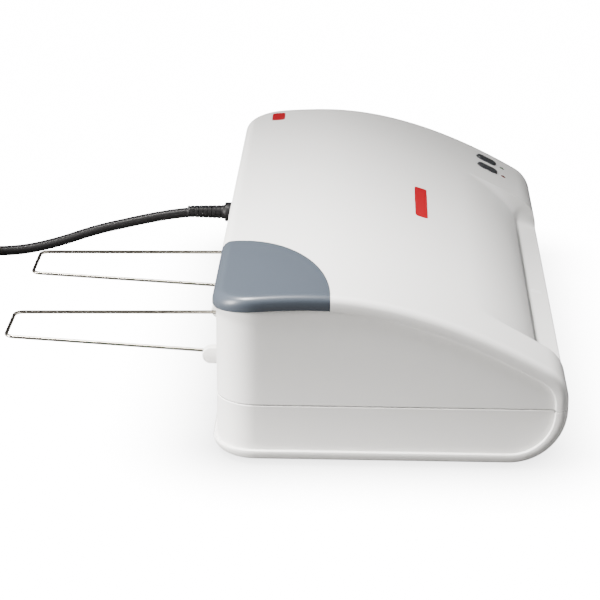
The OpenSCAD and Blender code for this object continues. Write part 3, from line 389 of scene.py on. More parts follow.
def shellMesh(name, s, top):
    corner = s["cornerR"]
    band = None
    if top:
        front, band = scoopRows()
        plain = [alongFront(r[0]) for r in front]
        inScoop = [np.array(r[1]) for r in front]
        ys = list(np.linspace(startP[0], crestY, 30)[1:]) + list(np.linspace(crestY, yRear - corner, 9)[1:])
        for y in ys:
            z = topZ(y) if y >= crestY else float(np.interp(y, frontLine[:, 0], frontLine[:, 1]))
            plain.append(np.array([y, z]))
            inScoop.append(np.array([y, z]))
    else:
        c = np.array([yFront + 30.0, zPart])
        plain = [np.array([yFront, seamBase]), np.array([yFront + 0.001, seamBase - 0.4])]
        plain += list(arcPoints(c, 30, 181.2, 270, 30))[1:]
        plain += [np.array([y, zBase]) for y in np.linspace(yFront + 30, yRear - corner, 20)[1:]]
        inScoop = plain
    plain, inScoop = np.array(plain), np.array(inScoop)
    n = len(plain)

    def normals(line):
        d = np.gradient(line, axis=0)
        d /= np.linalg.norm(d, axis=1)[:, None]
        return np.stack([d[:, 1], -d[:, 0]], 1) if top else np.stack([-d[:, 1], d[:, 0]], 1)

    inw = normals(plain)
    inw[:2] = [1, 0]
    if top:
        k = plain[:, 0] >= crestY
        fall = [2 * (y - crestY) / crown for y in plain[k][:, 0]]
        inw[k] = [[-f / math.hypot(1, f), -1] for f in fall]
    fil = s["fillet"]
    xs = np.concatenate([np.linspace(-(halfW - fil), -150, 8)[:-1], np.linspace(-150, -134, 17)[:-1],
                         [-133.5], np.linspace(-133, 103, 48), np.linspace(103, 110, 13)[1:], [110.25],
                         np.linspace(114, halfW - fil, 14)]) if top else \
        np.linspace(-(halfW - fil), halfW - fil, 60)
    m = len(xs)
    weight = scoopWeight(xs) if top else np.zeros(m)

    def build(inside):
        t = s["wall"] if inside else 0.0
        skin = np.zeros((n + s["cornerSteps"], m, 3))
        for j in range(n):
            for i in range(m):
                p = plain[j] + (inScoop[j] - plain[j]) * weight[i]
                skin[j, i] = (xs[i], p[0], p[1])
        ringE, ringA, ringB, ringR = [], [], [], []
        for j in range(n):
            ringE.append((halfW, plain[j][0], plain[j][1]))
            ringA.append((-1.0, 0.0, 0.0))
            ringB.append((0.0, inw[j][0], inw[j][1]))
            ringR.append(fil)
        rearB = np.array([0.0, 0.0, -1.0 if top else 1.0])
        for k in range(1, s["cornerSteps"] + 1):
            phi = math.radians(90.0 * k / s["cornerSteps"])
            ex, ey = halfW - corner + corner * math.cos(phi), yRear - corner + corner * math.sin(phi)
            r = fil + (s["rearFillet"] - fil) * math.sin(phi) ** 2
            z = topZ(ey) if top else zBase
            slope = -2 * (ey - crestY) / 640.0 if top else 0.0
            a = np.array([-math.cos(phi), -math.sin(phi), -slope * math.sin(phi)])
            b = (1 - k / s["cornerSteps"]) * np.array(ringB[n - 1]) + (k / s["cornerSteps"]) * rearB
            ringE.append((ex, ey, z))
            ringA.append(tuple(a / np.linalg.norm(a)))
            ringB.append(tuple(b / np.linalg.norm(b)))
            ringR.append(r)
            px, py = ex + a[0] * r, ey + a[1] * r
            zz = topZ(py) if top else zBase
            for i in range(m):
                skin[n + k - 1, i] = (xs[i] * px / (halfW - fil), py, zz)
        rowsAll = n + s["cornerSteps"]
        edgeL, dirA, dirB, radL = (np.array(v, float) for v in (ringE, ringA, ringB, ringR))
        flip = np.array([-1.0, 1, 1])
        last = rowsAll - 1
        midE = np.array([(skin[last, i, 0], yRear, edgeL[-1, 2]) for i in range(1, m - 1)])
        midA = np.repeat(dirA[-1:], m - 2, 0)
        midB = np.repeat(dirB[-1:], m - 2, 0)
        midR = np.full(m - 2, radL[-1])
        ringE = np.vstack([edgeL * flip, midE, edgeL[::-1]])
        ringA = np.vstack([dirA * flip, midA, dirA[::-1]])
        ringB = np.vstack([dirB * flip, midB, dirB[::-1]])
        ringR = np.concatenate([radL, midR, radL[::-1]])
        index = [(j, 0) for j in range(rowsAll)] + [(last, i) for i in range(1, m - 1)]
        index += [(j, m - 1) for j in range(rowsAll)][::-1]
        seam = seamTop if top else seamBase
        sign = 1 if top else -1

        def clampZ(p):
            p = p.copy()
            p[:, 2] = np.maximum(p[:, 2], seam) if top else np.minimum(p[:, 2], seam)
            return p
        level = ringA * [1, 1, 0]
        level /= np.linalg.norm(level, axis=1)[:, None]
        pin = ringE + s["rim"] * ringB - np.array([0, 0, s["drop"]])
        layers = []
        if inside:
            e2 = ringE + (s["wall"] + s["step"]) * level + t * ringB
            r2 = 1.5
            for k in range(1, s["filletSteps"] + 1):
                th = math.radians(90.0 * k / s["filletSteps"])
                layers.append(e2 + r2 * (1 - math.sin(th)) * ringA + r2 * (1 - math.cos(th)) * ringB)
            for k in range(1, 9):
                layers.append(e2 + (r2 + (s["rim"] - r2) * k / 8) * ringB)
            layers.append(np.column_stack([layers[-1][:, :2], np.full(len(e2), seam)]))
        else:
            for k in range(1, s["filletSteps"] + 1):
                th = math.radians(90.0 * k / s["filletSteps"])
                layers.append(ringE + (ringR * (1 - math.sin(th)))[:, None] * ringA
                              + (ringR * (1 - math.cos(th)))[:, None] * ringB)
            layers.append(pin - 0.55 * ringB)
            layers.append(pin - 0.16 * ringB + 0.16 * level)
            layers.append(pin + 0.55 * level)
            layers.append(pin + (s["step"] - 0.5) * level)
            layers.append(pin + (s["step"] - 0.12) * level + 0.12 * ringB)
            layers.append(pin + s["step"] * level + 0.6 * ringB)
            low = pin + s["step"] * level + 0.6 * ringB
            foot = np.column_stack([low[:, :2], np.full(len(low), seam + sign * 0.4)])
            layers.append(np.where((low[:, 2:] - foot[:, 2:]) * sign > 0, foot, low))
            layers.append(np.column_stack([(low + s["chamfer"] * level)[:, :2], np.full(len(low), seam)]))
        layers = [clampZ(v) for v in layers]
        if inside:  # skin moved inwards along its own slope
            du = np.gradient(skin, axis=1)
            dv = np.gradient(skin, axis=0)
            nor = np.cross(du, dv)
            nor /= np.maximum(np.linalg.norm(nor, axis=2), 1e-9)[:, :, None]
            if (nor[rowsAll // 2, m // 2, 2] > 0) == top:
                nor = -nor
            skin = skin + t * nor
            skin[:, 0, 0] = layers[0][0, 0] + 0.4
            skin[:, m - 1, 0] = -skin[:, 0, 0]
            lim = halfW - s["wall"] - s["step"] - 1.6
            skin[:, :, 0] = np.clip(skin[:, :, 0], -lim, lim)
            for k, (j, i) in enumerate(index):
                e2 = ringE[k] + (s["wall"] + s["step"]) * level[k] + t * ringB[k]
                skin[j, i] = e2 + 1.5 * ringA[k]
            skin[0, :, 2] = seam
            skin[0, :, 1] = yFront + t
            skin[1, :, 2] = seam + sign * 0.4
            skin[1, :, 1] = yFront + t
        else:
            skin[0, :, 1] += s["chamfer"] * np.where(weight > 2, 0, 1)
        skin[:, :, 2] = np.maximum(skin[:, :, 2], seam) if top else np.minimum(skin[:, :, 2], seam)
        return skin, layers, index

    verts, faces = [], []
    grids = []
    for inside in (False, True):
        skin, layers, index = build(inside)
        at = len(verts)
        rowsAll = skin.shape[0]
        verts += [tuple(v) for v in skin.reshape(-1, 3)]
        ids = at + np.arange(rowsAll * m).reshape(rowsAll, m)
        ring = [int(ids[j, i]) for j, i in index]
        allRings = [ring]
        for layer in layers:
            base = len(verts)
            verts += [tuple(v) for v in layer]
            allRings.append(list(range(base, base + len(layer))))
        for j in range(rowsAll - 1):
            for i in range(m - 1):
                if (top and band[0] <= j < band[1] and xs[i] >= slotLeft - 0.01
                        and xs[i + 1] <= slotRight + 0.01):
                    continue
                faces.append([int(ids[j, i]), int(ids[j, i + 1]), int(ids[j + 1, i + 1]), int(ids[j + 1, i])])
        for a, b in zip(allRings, allRings[1:]):
            for k in range(len(ring) - 1):
                faces.append([a[k], a[k + 1], b[k + 1], b[k]])
        loop = [int(v) for v in ids[0, ::-1]] + [r[0] for r in allRings[1:]] + allRings[-1][1:]
        loop += [r[-1] for r in allRings[1:-1]][::-1]
        grids.append((ids, loop))
    (ids0, loop0), (ids1, loop1) = grids
    for k in range(len(loop0)):
        k2 = (k + 1) % len(loop0)
        faces.append([loop0[k], loop0[k2], loop1[k2], loop1[k]])
    if top:
        i0, i1 = int(np.argmin(abs(xs - slotLeft))), int(np.argmin(abs(xs - slotRight)))
        edge = [(band[0], i) for i in range(i0, i1)] + [(j, i1) for j in range(band[0], band[1])] + \
            [(band[1], i) for i in range(i1, i0, -1)] + [(j, i0) for j in range(band[1], band[0], -1)]
        for k in range(len(edge)):
            p, q = edge[k], edge[(k + 1) % len(edge)]
            faces.append([int(ids0[p]), int(ids0[q]), int(ids1[q]), int(ids1[p])])
    return newObject(name, verts, faces, 32.0)


say("shells")
topShell = shellMesh("top_shell", shellSet, True)
baseShell = shellMesh("base_shell", shellSet, False)
say("shell meshes")

# Cuts and inlays of the top
capSet = {"x": 96.0, "y": 61.0, "gap": 0.16}


def capPrism(name, grow):
    rx, ry = capSet["x"] + grow, capSet["y"] + grow
    ys = np.concatenate([yRear - ry * np.cos(np.linspace(0, math.pi / 2, 33)), [yRear + 4]])
    verts, faces = [], []
    for y in ys:
        u = max(0.0, 1 - ((y - yRear) / ry) ** 2) if y < yRear else 1.0
        x1 = -halfW + rx * math.sqrt(u) + (0.02 if u == 0 else 0)
        zl = topZ(min(y, yRear)) - 8.0 + 0.03 - grow
        verts += [(-halfW - 4, y, zl), (x1, y, zl), (x1, y, zTop + 3), (-halfW - 4, y, zTop + 3)]
    n = len(ys)
    for k in range(n - 1):
        a, b = 4 * k, 4 * k + 4
        faces += [[a + i, a + (i + 1) % 4, b + (i + 1) % 4, b + i] for i in range(4)]
    faces += [[3, 2, 1, 0], [4 * n - 4, 4 * n - 3, 4 * n - 2, 4 * n - 1]]
    return newObject(name, verts, faces)


inlaySet = {"front": [float(v) * mm for v in (*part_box("front_badge")[0][:2], *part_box("front_badge")[1][:2])],
            "rear": [float(v) * mm for v in (*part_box("rear_badge")[0][:2], *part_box("rear_badge")[1][:2])],
            "mark": [float(v) * mm for v in (*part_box("lip_mark")[0][:2], *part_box("lip_mark")[1][:2])]}


def inlayPrism(name, b, low, high, grow):
    w, l = b[2] - b[0] + 2 * grow, b[3] - b[1] + 2 * grow
    return prism(name, rounded((b[0] + b[2]) / 2, (b[1] + b[3]) / 2, w, l, 2.0 + grow), low, high)


def inlay(name, shape, node, slotName):
    piece = copied(topShell, name)
    cutWith(piece, shape, "INTERSECT")
    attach(piece, "chassis")
    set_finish(piece, slotName)
    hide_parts(node)


inlay("cap", capPrism("capCutter", 0.0), "corner_cap", "grey_plastic")
inlay("badge_front", inlayPrism("badgeCutA", inlaySet["front"], 60, 97, 0), "front_badge", "red_inlay")
inlay("badge_rear", inlayPrism("badgeCutB", inlaySet["rear"], 80, 97, 0), "rear_badge", "red_inlay")
# a pale patch inlaid flush on the lip beside the slot, lighter than the shell
inlay("pale_mark", inlayPrism("markCut", inlaySet["mark"], 35, 44, 0), "lip_mark", "pale_mark")

buttonSet = {"w": 8.0, "l": 14.0, "out": 1.2, "depth": 6.0, "gap": 0.3, "round": 0.7}
tilt = math.radians(26.284282)
buttonY, lensY = yFront + 29.5, yFront + 19.3
buttonX = [(float(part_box(nm)[0][0]) + float(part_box(nm)[1][0])) / 2 * mm
           for nm in ("power_button", "mode_button")]


def onSlope(x, y):
    z = float(np.interp(y, frontLine[:, 0], frontLine[:, 1]))
    return Matrix.Translation((x, y, z)) @ Matrix.Rotation(tilt, 4, "X")


def stadium(grow):
    w, l = buttonSet["w"] + 2 * grow, buttonSet["l"] + 2 * grow
    return rounded(0, 0, w, l, w / 2 - 0.001, 8)


lugSet = {"r": 4.6, "t": 6.0, "play": 0.8, "wire": 1.0, "inner": 22.5, "outer": 83.5, "path": -15.0,
          "round": 0.8, "skin": 0.4}
lugY, lugZ = yRear + 4.9, zPart - 1.2
lugXs = []
for side in (-1, 1):
    for leg in ("inner", "outer"):
        x = lugSet["path"] + side * lugSet[leg]
        out = side if leg == "outer" else -side
        away = lugSet["wire"] + lugSet["play"]
        lugXs.append(x + away if out > 0 else x - away - lugSet["t"])
reliefX, reliefZ = 147.0, zPart - 0.5

cutters = [capPrism("cutCap", capSet["gap"])]
cutters += [inlayPrism("cutA", inlaySet["front"], 60, 97, 0.12),
            inlayPrism("cutB", inlaySet["rear"], 80, 97, 0.12),
            inlayPrism("cutC", inlaySet["mark"], 34, 44, 0.1)]
for x in buttonX:
    cutters.append(prism("cutButton", stadium(buttonSet["gap"]), -5, 9, onSlope(x, buttonY)))
    cutters.append(lathe("cutLens", [(1.8, -5), (1.8, 9)], onSlope(x, lensY), 24))
cutters.append(boxOf("cutExit", (slotLeft, yRear - 9, slotLow), (slotRight, yRear + 5, slotHigh)))
for x in lugXs:
    cutters.append(boxOf("cutLug", (x - 0.4, yRear - 9, zPart - 4), (x + 6.4, yRear + 9, lugZ + 5.0)))
turned = Matrix.Translation((reliefX, yRear - 12, reliefZ)) @ Matrix.Rotation(-math.pi / 2, 4, "X")
cutters.append(lathe("cutRelief", [(6.6, 0), (6.6, 20)], turned, 40))
cutWith(topShell, joined("topCutters", cutters), smooth=32.0)
say("top cut")

# Base: relief hole, foot pockets and vents
baseCut = [lathe("cutRelief2", [(6.6, 0), (6.6, 20)], turned, 40)]
ventSet = {"rows": 8, "pitch": 7.0, "first": 53.5 + 3 + 1.3, "half": 28.0, "offset": 52.0, "width": 2.6}


class NodeMaker:
    def __init__(self, tree):
        self.tree = tree

    def make(self, kind, settings=None, **inputs):
        node = self.tree.nodes.new(kind)
        for k, v in (settings or {}).items():
            setattr(node, k, v)
        for k, v in inputs.items():
            byPlace = k[0] == "i" and k[1:].isdigit()
            self.set(node.inputs[int(k[1:]) if byPlace else k.replace("_", " ")], v)
        return node

    def set(self, socket, value):
        if isinstance(value, Signal):
            self.tree.links.new(value.socket, socket)
        elif isinstance(value, bpy.types.NodeSocket):
            self.tree.links.new(value, socket)
        elif value is not None:
            socket.default_value = value

    def wrap(self, socket):
        return Signal(self, socket)


class Signal:
    def __init__(self, maker, socket):
        self.maker, self.socket = maker, socket

    def math(self, operation, other=None, third=None, clamp=False):
        return self.maker.wrap(self.maker.make("ShaderNodeMath", {"operation": operation, "use_clamp": clamp},
                                               i0=self, i1=other, i2=third).outputs[0])

    def __add__(self, other): return self.math("ADD", other)
    def __sub__(self, other): return self.math("SUBTRACT", other)
    def __mul__(self, other): return self.math("MULTIPLY", other)
    def __rmul__(self, other): return self.math("MULTIPLY", other)
    def __radd__(self, other): return self.math("ADD", other)
    def clamped(self): return self.math("ADD", 0.0, clamp=True)


def groupWith(name, inputs):
    tree = bpy.data.node_groups.new(name, "GeometryNodeTree")
    tree.interface.new_socket("Geometry", in_out="INPUT", socket_type="NodeSocketGeometry")
    ids = {}
    for label, kind in inputs:
        item = tree.interface.new_socket(label, in_out="INPUT", socket_type=kind)
        ids[label] = item.identifier
    tree.interface.new_socket("Geometry", in_out="OUTPUT", socket_type="NodeSocketGeometry")
    return tree, ids, NodeMaker(tree)


def runGroup(o, tree, ids, values):
    m = o.modifiers.new("repeat", "NODES")
    m.node_group = tree
    for label, value in values.items():
        m[ids[label]] = value
    bpy.context.view_layer.update()
    bake(o)
    return o


def pointsObject(name, pts):
    mesh = bpy.data.meshes.new(name)
    mesh.from_pydata([tuple(np.array(p, float) / mm) for p in pts], [], [])
    o = bpy.data.objects.new(name, mesh)
    bpy.context.scene.collection.objects.link(o)
    return o


def repeatBoxes(name, pts, size, material):
    tree, ids, k = groupWith(name + "_nodes", [("Length", "NodeSocketFloat"), ("Width", "NodeSocketFloat"),
                                               ("Height", "NodeSocketFloat"),
                                               ("Material", "NodeSocketMaterial")])
    src = k.make("NodeGroupInput")
    dims = k.make("ShaderNodeCombineXYZ", None, X=src.outputs["Length"], Y=src.outputs["Width"],
                  Z=src.outputs["Height"])
    cube = k.make("GeometryNodeMeshCube", None, Size=dims.outputs[0])
    spots = k.make("GeometryNodeMeshToPoints", None, Mesh=src.outputs["Geometry"])
    put = k.make("GeometryNodeInstanceOnPoints", None, Points=spots.outputs[0], Instance=cube.outputs["Mesh"])
    real = k.make("GeometryNodeRealizeInstances", None, Geometry=put.outputs[0])
    paint = k.make("GeometryNodeSetMaterial", None, Geometry=real.outputs[0],
                   Material=src.outputs["Material"])
    k.make("NodeGroupOutput", None, Geometry=paint.outputs[0])
    return runGroup(pointsObject(name, pts), tree, ids, {"Length": size[0] / mm, "Width": size[1] / mm,
                                                         "Height": size[2] / mm, "Material": material})


ventSpots = [(lugSet["path"] + s * ventSet["offset"], yFront + ventSet["first"] + i * ventSet["pitch"],
              zBase + 3)
             for i in range(ventSet["rows"]) for s in (-1, 1)]
baseCut.append(repeatBoxes("vents", ventSpots, (2 * ventSet["half"], ventSet["width"], 12), None))
feetAt = [(x * 148.0, y) for x in (-1, 1) for y in (yFront + 41.5, yRear - 16.5)]
for x, y in feetAt:
    baseCut.append(lathe("cutFoot", [(7.15, -9), (7.15, 1.1)], Matrix.Translation((x, y, zBase)), 40))
cutWith(baseShell, joined("baseCutters", baseCut), smooth=32.0)
say("base cut")


# Lugs that carry the wire supports
def lugPiece(x, name):
    r, t, c = lugSet["r"], lugSet["t"], lugSet["round"]

    def outline(d):
        q = r - d
        pts = [(math.cos(a) * q, math.sin(a) * q) for a in np.linspace(-math.pi / 2, math.pi / 2, 17)]
        return pts + [(-9.0, q), (-9.0, -q)]
    levels = [(c, 0), (c * 0.3, c * 0.3), (0, c), (0, t - c), (c * 0.3, t - c * 0.3), (c, t)]
    place = Matrix.Translation((x, lugY, lugZ)) @ Matrix(((0, 0, 1, 0), (1, 0, 0, 0), (0, 1, 0, 0),
                                                          (0, 0, 0, 1)))
    o = stacked(name, outline, levels, place, 40.0)
    legs = [lugSet["path"] + side * lugSet[leg] for leg in ("inner", "outer") for side in (-1, 1)]
    leg = min(legs, key=lambda q: abs(q - x - t / 2))  # the bore is blind on the side away from its leg
    ends = (-2, t - lugSet["skin"]) if leg < x else (lugSet["skin"], t + 2)
    bore = lathe(name + "bore", [(1.06, ends[0]), (1.06, ends[1])],
                 Matrix.Translation((x, lugY, lugZ)) @ Matrix.Rotation(math.pi / 2, 4, "Y"), 32)
    cutWith(o, bore, smooth=40.0)
    return o


lugs = joined("support_lugs", [lugPiece(x, "lug%d" % i) for i, x in enumerate(lugXs)])
shadeByAngle(lugs, 40.0)
topShell.name, baseShell.name = "top_cover", "base_tray"
for o, node, slotName in ((topShell, "top_housing", "white_plastic"),
                          (baseShell, "base_housing", "ivory_plastic")):
    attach(o, "chassis")
    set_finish(o, slotName)
    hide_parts(node)
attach(lugs, "chassis")
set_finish(lugs, "ivory_plastic")
say("lugs")

# Buttons and lenses
for x, body, lensNode, lensSlot in ((buttonX[0], "power_button", "power_lens", "red_lens"),
                                    (buttonX[1], "mode_button", "ready_lens", "green_lens")):
    q = buttonSet["round"]
    low, out = -buttonSet["depth"], buttonSet["out"]
    levels = [(-1.1, low), (-1.1, low + 1.1), (0, low + 1.3), (0, out - q)]
    levels += [(q * (1 - math.cos(a)), out - q + q * math.sin(a)) for a in np.radians([22, 45, 68, 88])]
    levels += [(1.6, out - 0.02), (2.6, out - 0.12), (3.4, out - 0.2)]
    b = stacked(body + "_key", lambda d: stadium(-d), levels, onSlope(x, buttonY), 35.0)
    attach(b, body)
    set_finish(b, "button_plastic")
    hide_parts(body)
    dome = [(1.72, -5.0), (1.72, 0.0)]
    dome += [(1.72 * math.cos(a), 0.38 * math.sin(a)) for a in np.radians([15, 30, 45, 60, 75, 88])]
    lens = lathe(lensNode + "_dome", dome, onSlope(x, lensY), 32, 50.0)
    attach(lens, "chassis")
    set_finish(lens, lensSlot)
    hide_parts(lensNode)
say("controls")

# Wire supports
wireSet = {"r": 1.0, "bend": 5.0, "heel": 2.2, "taper": 11.25, "tilt": 1.2, "reach": 113.6}


def bent(points, radii, steps=8):
    p = [np.array(q, float) for q in points]
    out = [p[0]]
    for i in range(1, len(p) - 1):
        u, v = p[i - 1] - p[i], p[i + 1] - p[i]
        u, v = u / np.linalg.norm(u), v / np.linalg.norm(v)
        half = math.acos(float(u @ v)) / 2
        back = radii[i - 1] / math.tan(half)
        mid = (u + v) / np.linalg.norm(u + v) * radii[i - 1] / math.sin(half)
        a, b = u * back - mid, v * back - mid
        ang = math.acos(float(a @ b) / np.linalg.norm(a) / np.linalg.norm(b))
        for k in range(steps + 1):
            t = k / steps
            out.append(p[i] + mid + (a * math.sin((1 - t) * ang) + b * math.sin(t * ang)) / math.sin(ang))
    return out + [p[-1]]


tipReach = yRear + 120.5 - lugY - wireSet["r"]
for side, node in ((-1, "left_wire_support"), (1, "right_wire_support")):
    inner, outer = lugSet["path"] + side * lugSet["inner"], lugSet["path"] + side * lugSet["outer"]
    pin = lugSet["t"] + lugSet["play"] + wireSet["r"] - 0.5
    pts = [(outer + side * pin, 0, 0), (outer, 0, 0), (outer - side * wireSet["taper"], tipReach, 0),
           (inner + side * wireSet["taper"], tipReach, 0), (inner, 0, 0), (inner - side * pin, 0, 0)]
    line = bent(pts, [wireSet["heel"], wireSet["bend"], wireSet["bend"], wireSet["heel"]])
    swing = Matrix.Translation((0, lugY, lugZ)) @ Matrix.Rotation(math.radians(wireSet["tilt"]), 4, "X")
    w = tubeAlong(node + "_wire", [np.array(swing @ Vector(q)) for q in line], wireSet["r"], 20, 50.0)
    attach(w, node)
    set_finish(w, "support_wire")
    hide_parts(node)
say("supports")

# Strain relief, lead and plug
reliefSet = {"neck": 4.8, "collar": 6.25, "collarEnd": 13.5, "boot": 24.0, "bootStart": 4.4, "bootEnd": 3.7,
             "step": 2.0, "edge": 0.7}
rs = reliefSet
y0, y1 = yRear - 7.6, yRear - rs["step"]
y2, y3 = yRear + rs["collarEnd"], yRear + rs["collarEnd"] + rs["boot"]
prof = [(6.4, y0), (6.4, y0 + 2.8), (rs["neck"], y0 + 2.8), (rs["neck"], y1), (rs["collar"] - rs["edge"], y1)]
prof += [(rs["collar"] - rs["edge"] * (1 - math.sin(a)), y1 + rs["edge"] * (1 - math.cos(a)))
         for a in np.radians([30, 60, 90])]
prof += [(rs["collar"] - rs["edge"] * (1 - math.cos(a)), y2 - rs["edge"] * (1 - math.sin(a)))
         for a in np.radians([0, 30, 60, 90])]
prof += [(rs["bootStart"] + 0.5, y2), (rs["bootStart"] + 0.1, y2 + 0.5)]
for k in range(8):  # soft rings along the boot
    ya = y2 + 0.5 + k * 2.8
    ra = rs["bootStart"] + (rs["bootEnd"] - rs["bootStart"]) * (ya - y2) / rs["boot"]
    prof += [(ra, ya + 1.6), (ra - 0.32, ya + 1.75), (ra - 0.32, ya + 2.35), (ra - 0.03, ya + 2.5)]
prof += [(rs["bootEnd"], y3 - 0.4), (rs["bootEnd"] - 0.3, y3), (3.22, y3)]
axis = Matrix.Translation((reliefX, 0, reliefZ)) @ Matrix.Rotation(-math.pi / 2, 4, "X")
relief = lathe("strain_boot", prof, axis, 48, 35.0)
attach(relief, "chassis")
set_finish(relief, "cord_plastic")
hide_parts("strain_relief")

plugSet = {"w": 36.0, "h": 22.0, "cone0": 4.2, "cone1": 7.5, "pinR": 2.4, "pinGap": 9.5}
zPlug = (plugLow[2] + plugHigh[2]) / 2
plugTurn = Matrix(((0, 0, -1, 0), (1, 0, 0, 0), (0, -1, 0, 0), (0, 0, 0, 1)))
plugPlace = Matrix.Translation((plugX, plugY, zPlug)) @ plugTurn


def plugOutline(d):
    return rounded(0, 0, plugSet["w"] - 2 * d, plugSet["h"] - 2 * d, plugSet["h"] / 2 - d - 0.01, 10)


levels = [(6.2, -12.0), (4.2, -11.0), (1.9, -8.5), (0.6, -5.0), (0.0, -1.5), (0.0, 15.8), (0.25, 16.9),
          (0.9, 17.7), (1.6, 18.0)]
plugBody = stacked("plug_body", plugOutline, levels, plugPlace, 40.0)
cone = [(3.25, -36.0), (4.0, -36.0), (4.2, -35.6)]
for k in range(5):
    a = -34.5 + k * 4.4
    r = plugSet["cone0"] + (plugSet["cone1"] - plugSet["cone0"]) * (a + 36) / 24
    cone += [(r, a), (r + 0.3, a + 2.6), (r - 0.25, a + 2.8), (r - 0.2, a + 3.6), (r + 0.45, a + 3.8)]
cone += [(plugSet["cone1"], -12.2), (plugSet["cone1"], -9.0)]
plugCone = lathe("plug_cone", cone, plugPlace, 40, 35.0)
plug = joined("plug_moulding", [plugBody, plugCone])
shadeByAngle(plug, 38.0)
pins = []
for s in (-1, 1):
    p = plugSet["pinR"]
    tip = [(p - (1 - math.cos(a)), 36.0 + math.sin(a)) for a in np.radians([30, 60, 90])]
    place = plugPlace @ Matrix.Translation((s * plugSet["pinGap"], 0, 0))
    pins.append(lathe("pin", [(p, 17.6), (p, 36.0)] + tip, place, 32, 35.0))
plugPins = joined("plug_pins", pins)
shadeByAngle(plugPins, 35.0)
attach(plug, "chassis")
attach(plugPins, "chassis")
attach(lead, "chassis")
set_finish(plug, "cord_plastic")
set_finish(plugPins, "shaft_steel")
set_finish(lead, "cord_plastic")
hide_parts("mains_plug")
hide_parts("power_cord", "cord_coil")
[tuple(p / mm) for p in cordLine]
say("plug")

# Feet
footProfile = [(0.01, 1.2), (3.8, 1.2), (4.0, 1.0), (4.0, 0.0), (4.2, 0.0), (6.3, 0.0), (6.8, 0.25),
               (7.0, 0.8), (7.0, 3.7), (0.01, 3.7)]
feet = joined("feet", [lathe("foot", footProfile, Matrix.Translation((x, y, 0)), 40, 35.0)
                       for x, y in feetAt])
shadeByAngle(feet, 35.0)
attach(feet, "chassis")
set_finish(feet, "foot_rubber")
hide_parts("rubber_feet")


# Pressure springs, built as fixed coils
springSet = {"wire": 0.55, "turns": 3, "steps": 28}
for node, body in (("infeed_pressure_springs", "infeed_bushes"),
                   ("outfeed_pressure_springs", "outfeed_bushes")):
    low, high = [np.array(v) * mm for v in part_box(node)]
    wire, steps = springSet["wire"], springSet["steps"]
    r = (high[1] - low[1]) / 2 - wire
    z0, z1 = low[2] + wire, high[2] - wire
    coils = []
    for x in (low[0] + r + wire, high[0] - r - wire):
        count, midY = springSet["turns"] * steps, (low[1] + high[1]) / 2
        helix = [(x + r * math.cos(2 * math.pi * i / steps), midY + r * math.sin(2 * math.pi * i / steps),
                  z0 + (z1 - z0) * i / count) for i in range(count + 1)]
        coils.append(tubeAlong("coil", helix, wire, 12, 60.0))
    springs = joined(node + "_coils", coils)
    shadeByAngle(springs, 60.0)
    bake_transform(springs)
    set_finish(springs, "spring_steel")
    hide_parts(node)
say("springs")


# Materials
def surface(name, s):
    mat = bpy.data.materials.new(name)
    mat.use_nodes = True
    tree = mat.node_tree
    tree.nodes.clear()
    k = NodeMaker(tree)
    out = k.make("ShaderNodeOutputMaterial")
    shader = k.make("ShaderNodeBsdfPrincipled")
    tree.links.new(shader.outputs[0], out.inputs["Surface"])
    for label, value in (("Metallic", s.get("metal", 0.0)), ("IOR", s.get("ior", 1.5)),
                         ("Coat Weight", s.get("coat", 0.0)), ("Coat Roughness", s.get("coatRough", 0.1)),
                         ("Specular IOR Level", s.get("spec", 0.5))):
        shader.inputs[label].default_value = value
    where = k.make("ShaderNodeTexCoord").outputs["Object"]
    if "stretch" in s:
        where = k.make("ShaderNodeMapping", None, Vector=where, Scale=s["stretch"]).outputs[0]
    noise = [k.make("ShaderNodeTexNoise", None, Vector=where, Scale=scale, Detail=detail)
             for scale, detail in ((s.get("broad", 18.0), 3.0), (s.get("fine", 2600.0), 2.0))]
    broad, fine = [k.wrap(node.outputs["Fac"]) for node in noise]
    drift = (broad - 0.5) * s.get("drift", 0.06) + (fine - 0.5) * s.get("speck", 0.02)
    c = s["colour"]
    two = k.make("ShaderNodeMix", {"data_type": "RGBA"}, i0=(drift + 0.5).clamped(),
                 i6=(*[v * 0.8 for v in c], 1), i7=(*[min(v * 1.2, 1) for v in c], 1))
    k.set(shader.inputs["Base Color"], two.outputs[2])
    rough = (broad - 0.5) * s.get("roughDrift", 0.06) + (fine - 0.5) * s.get("roughSpeck", 0.05) + s["rough"]
    k.set(shader.inputs["Roughness"], rough.clamped())
    bump = k.make("ShaderNodeBump", None, Strength=s.get("bump", 0.08), Distance=s.get("bumpDepth", 0.00004),
                  Height=fine)
    k.set(shader.inputs["Normal"], bump.outputs[0])
    return mat


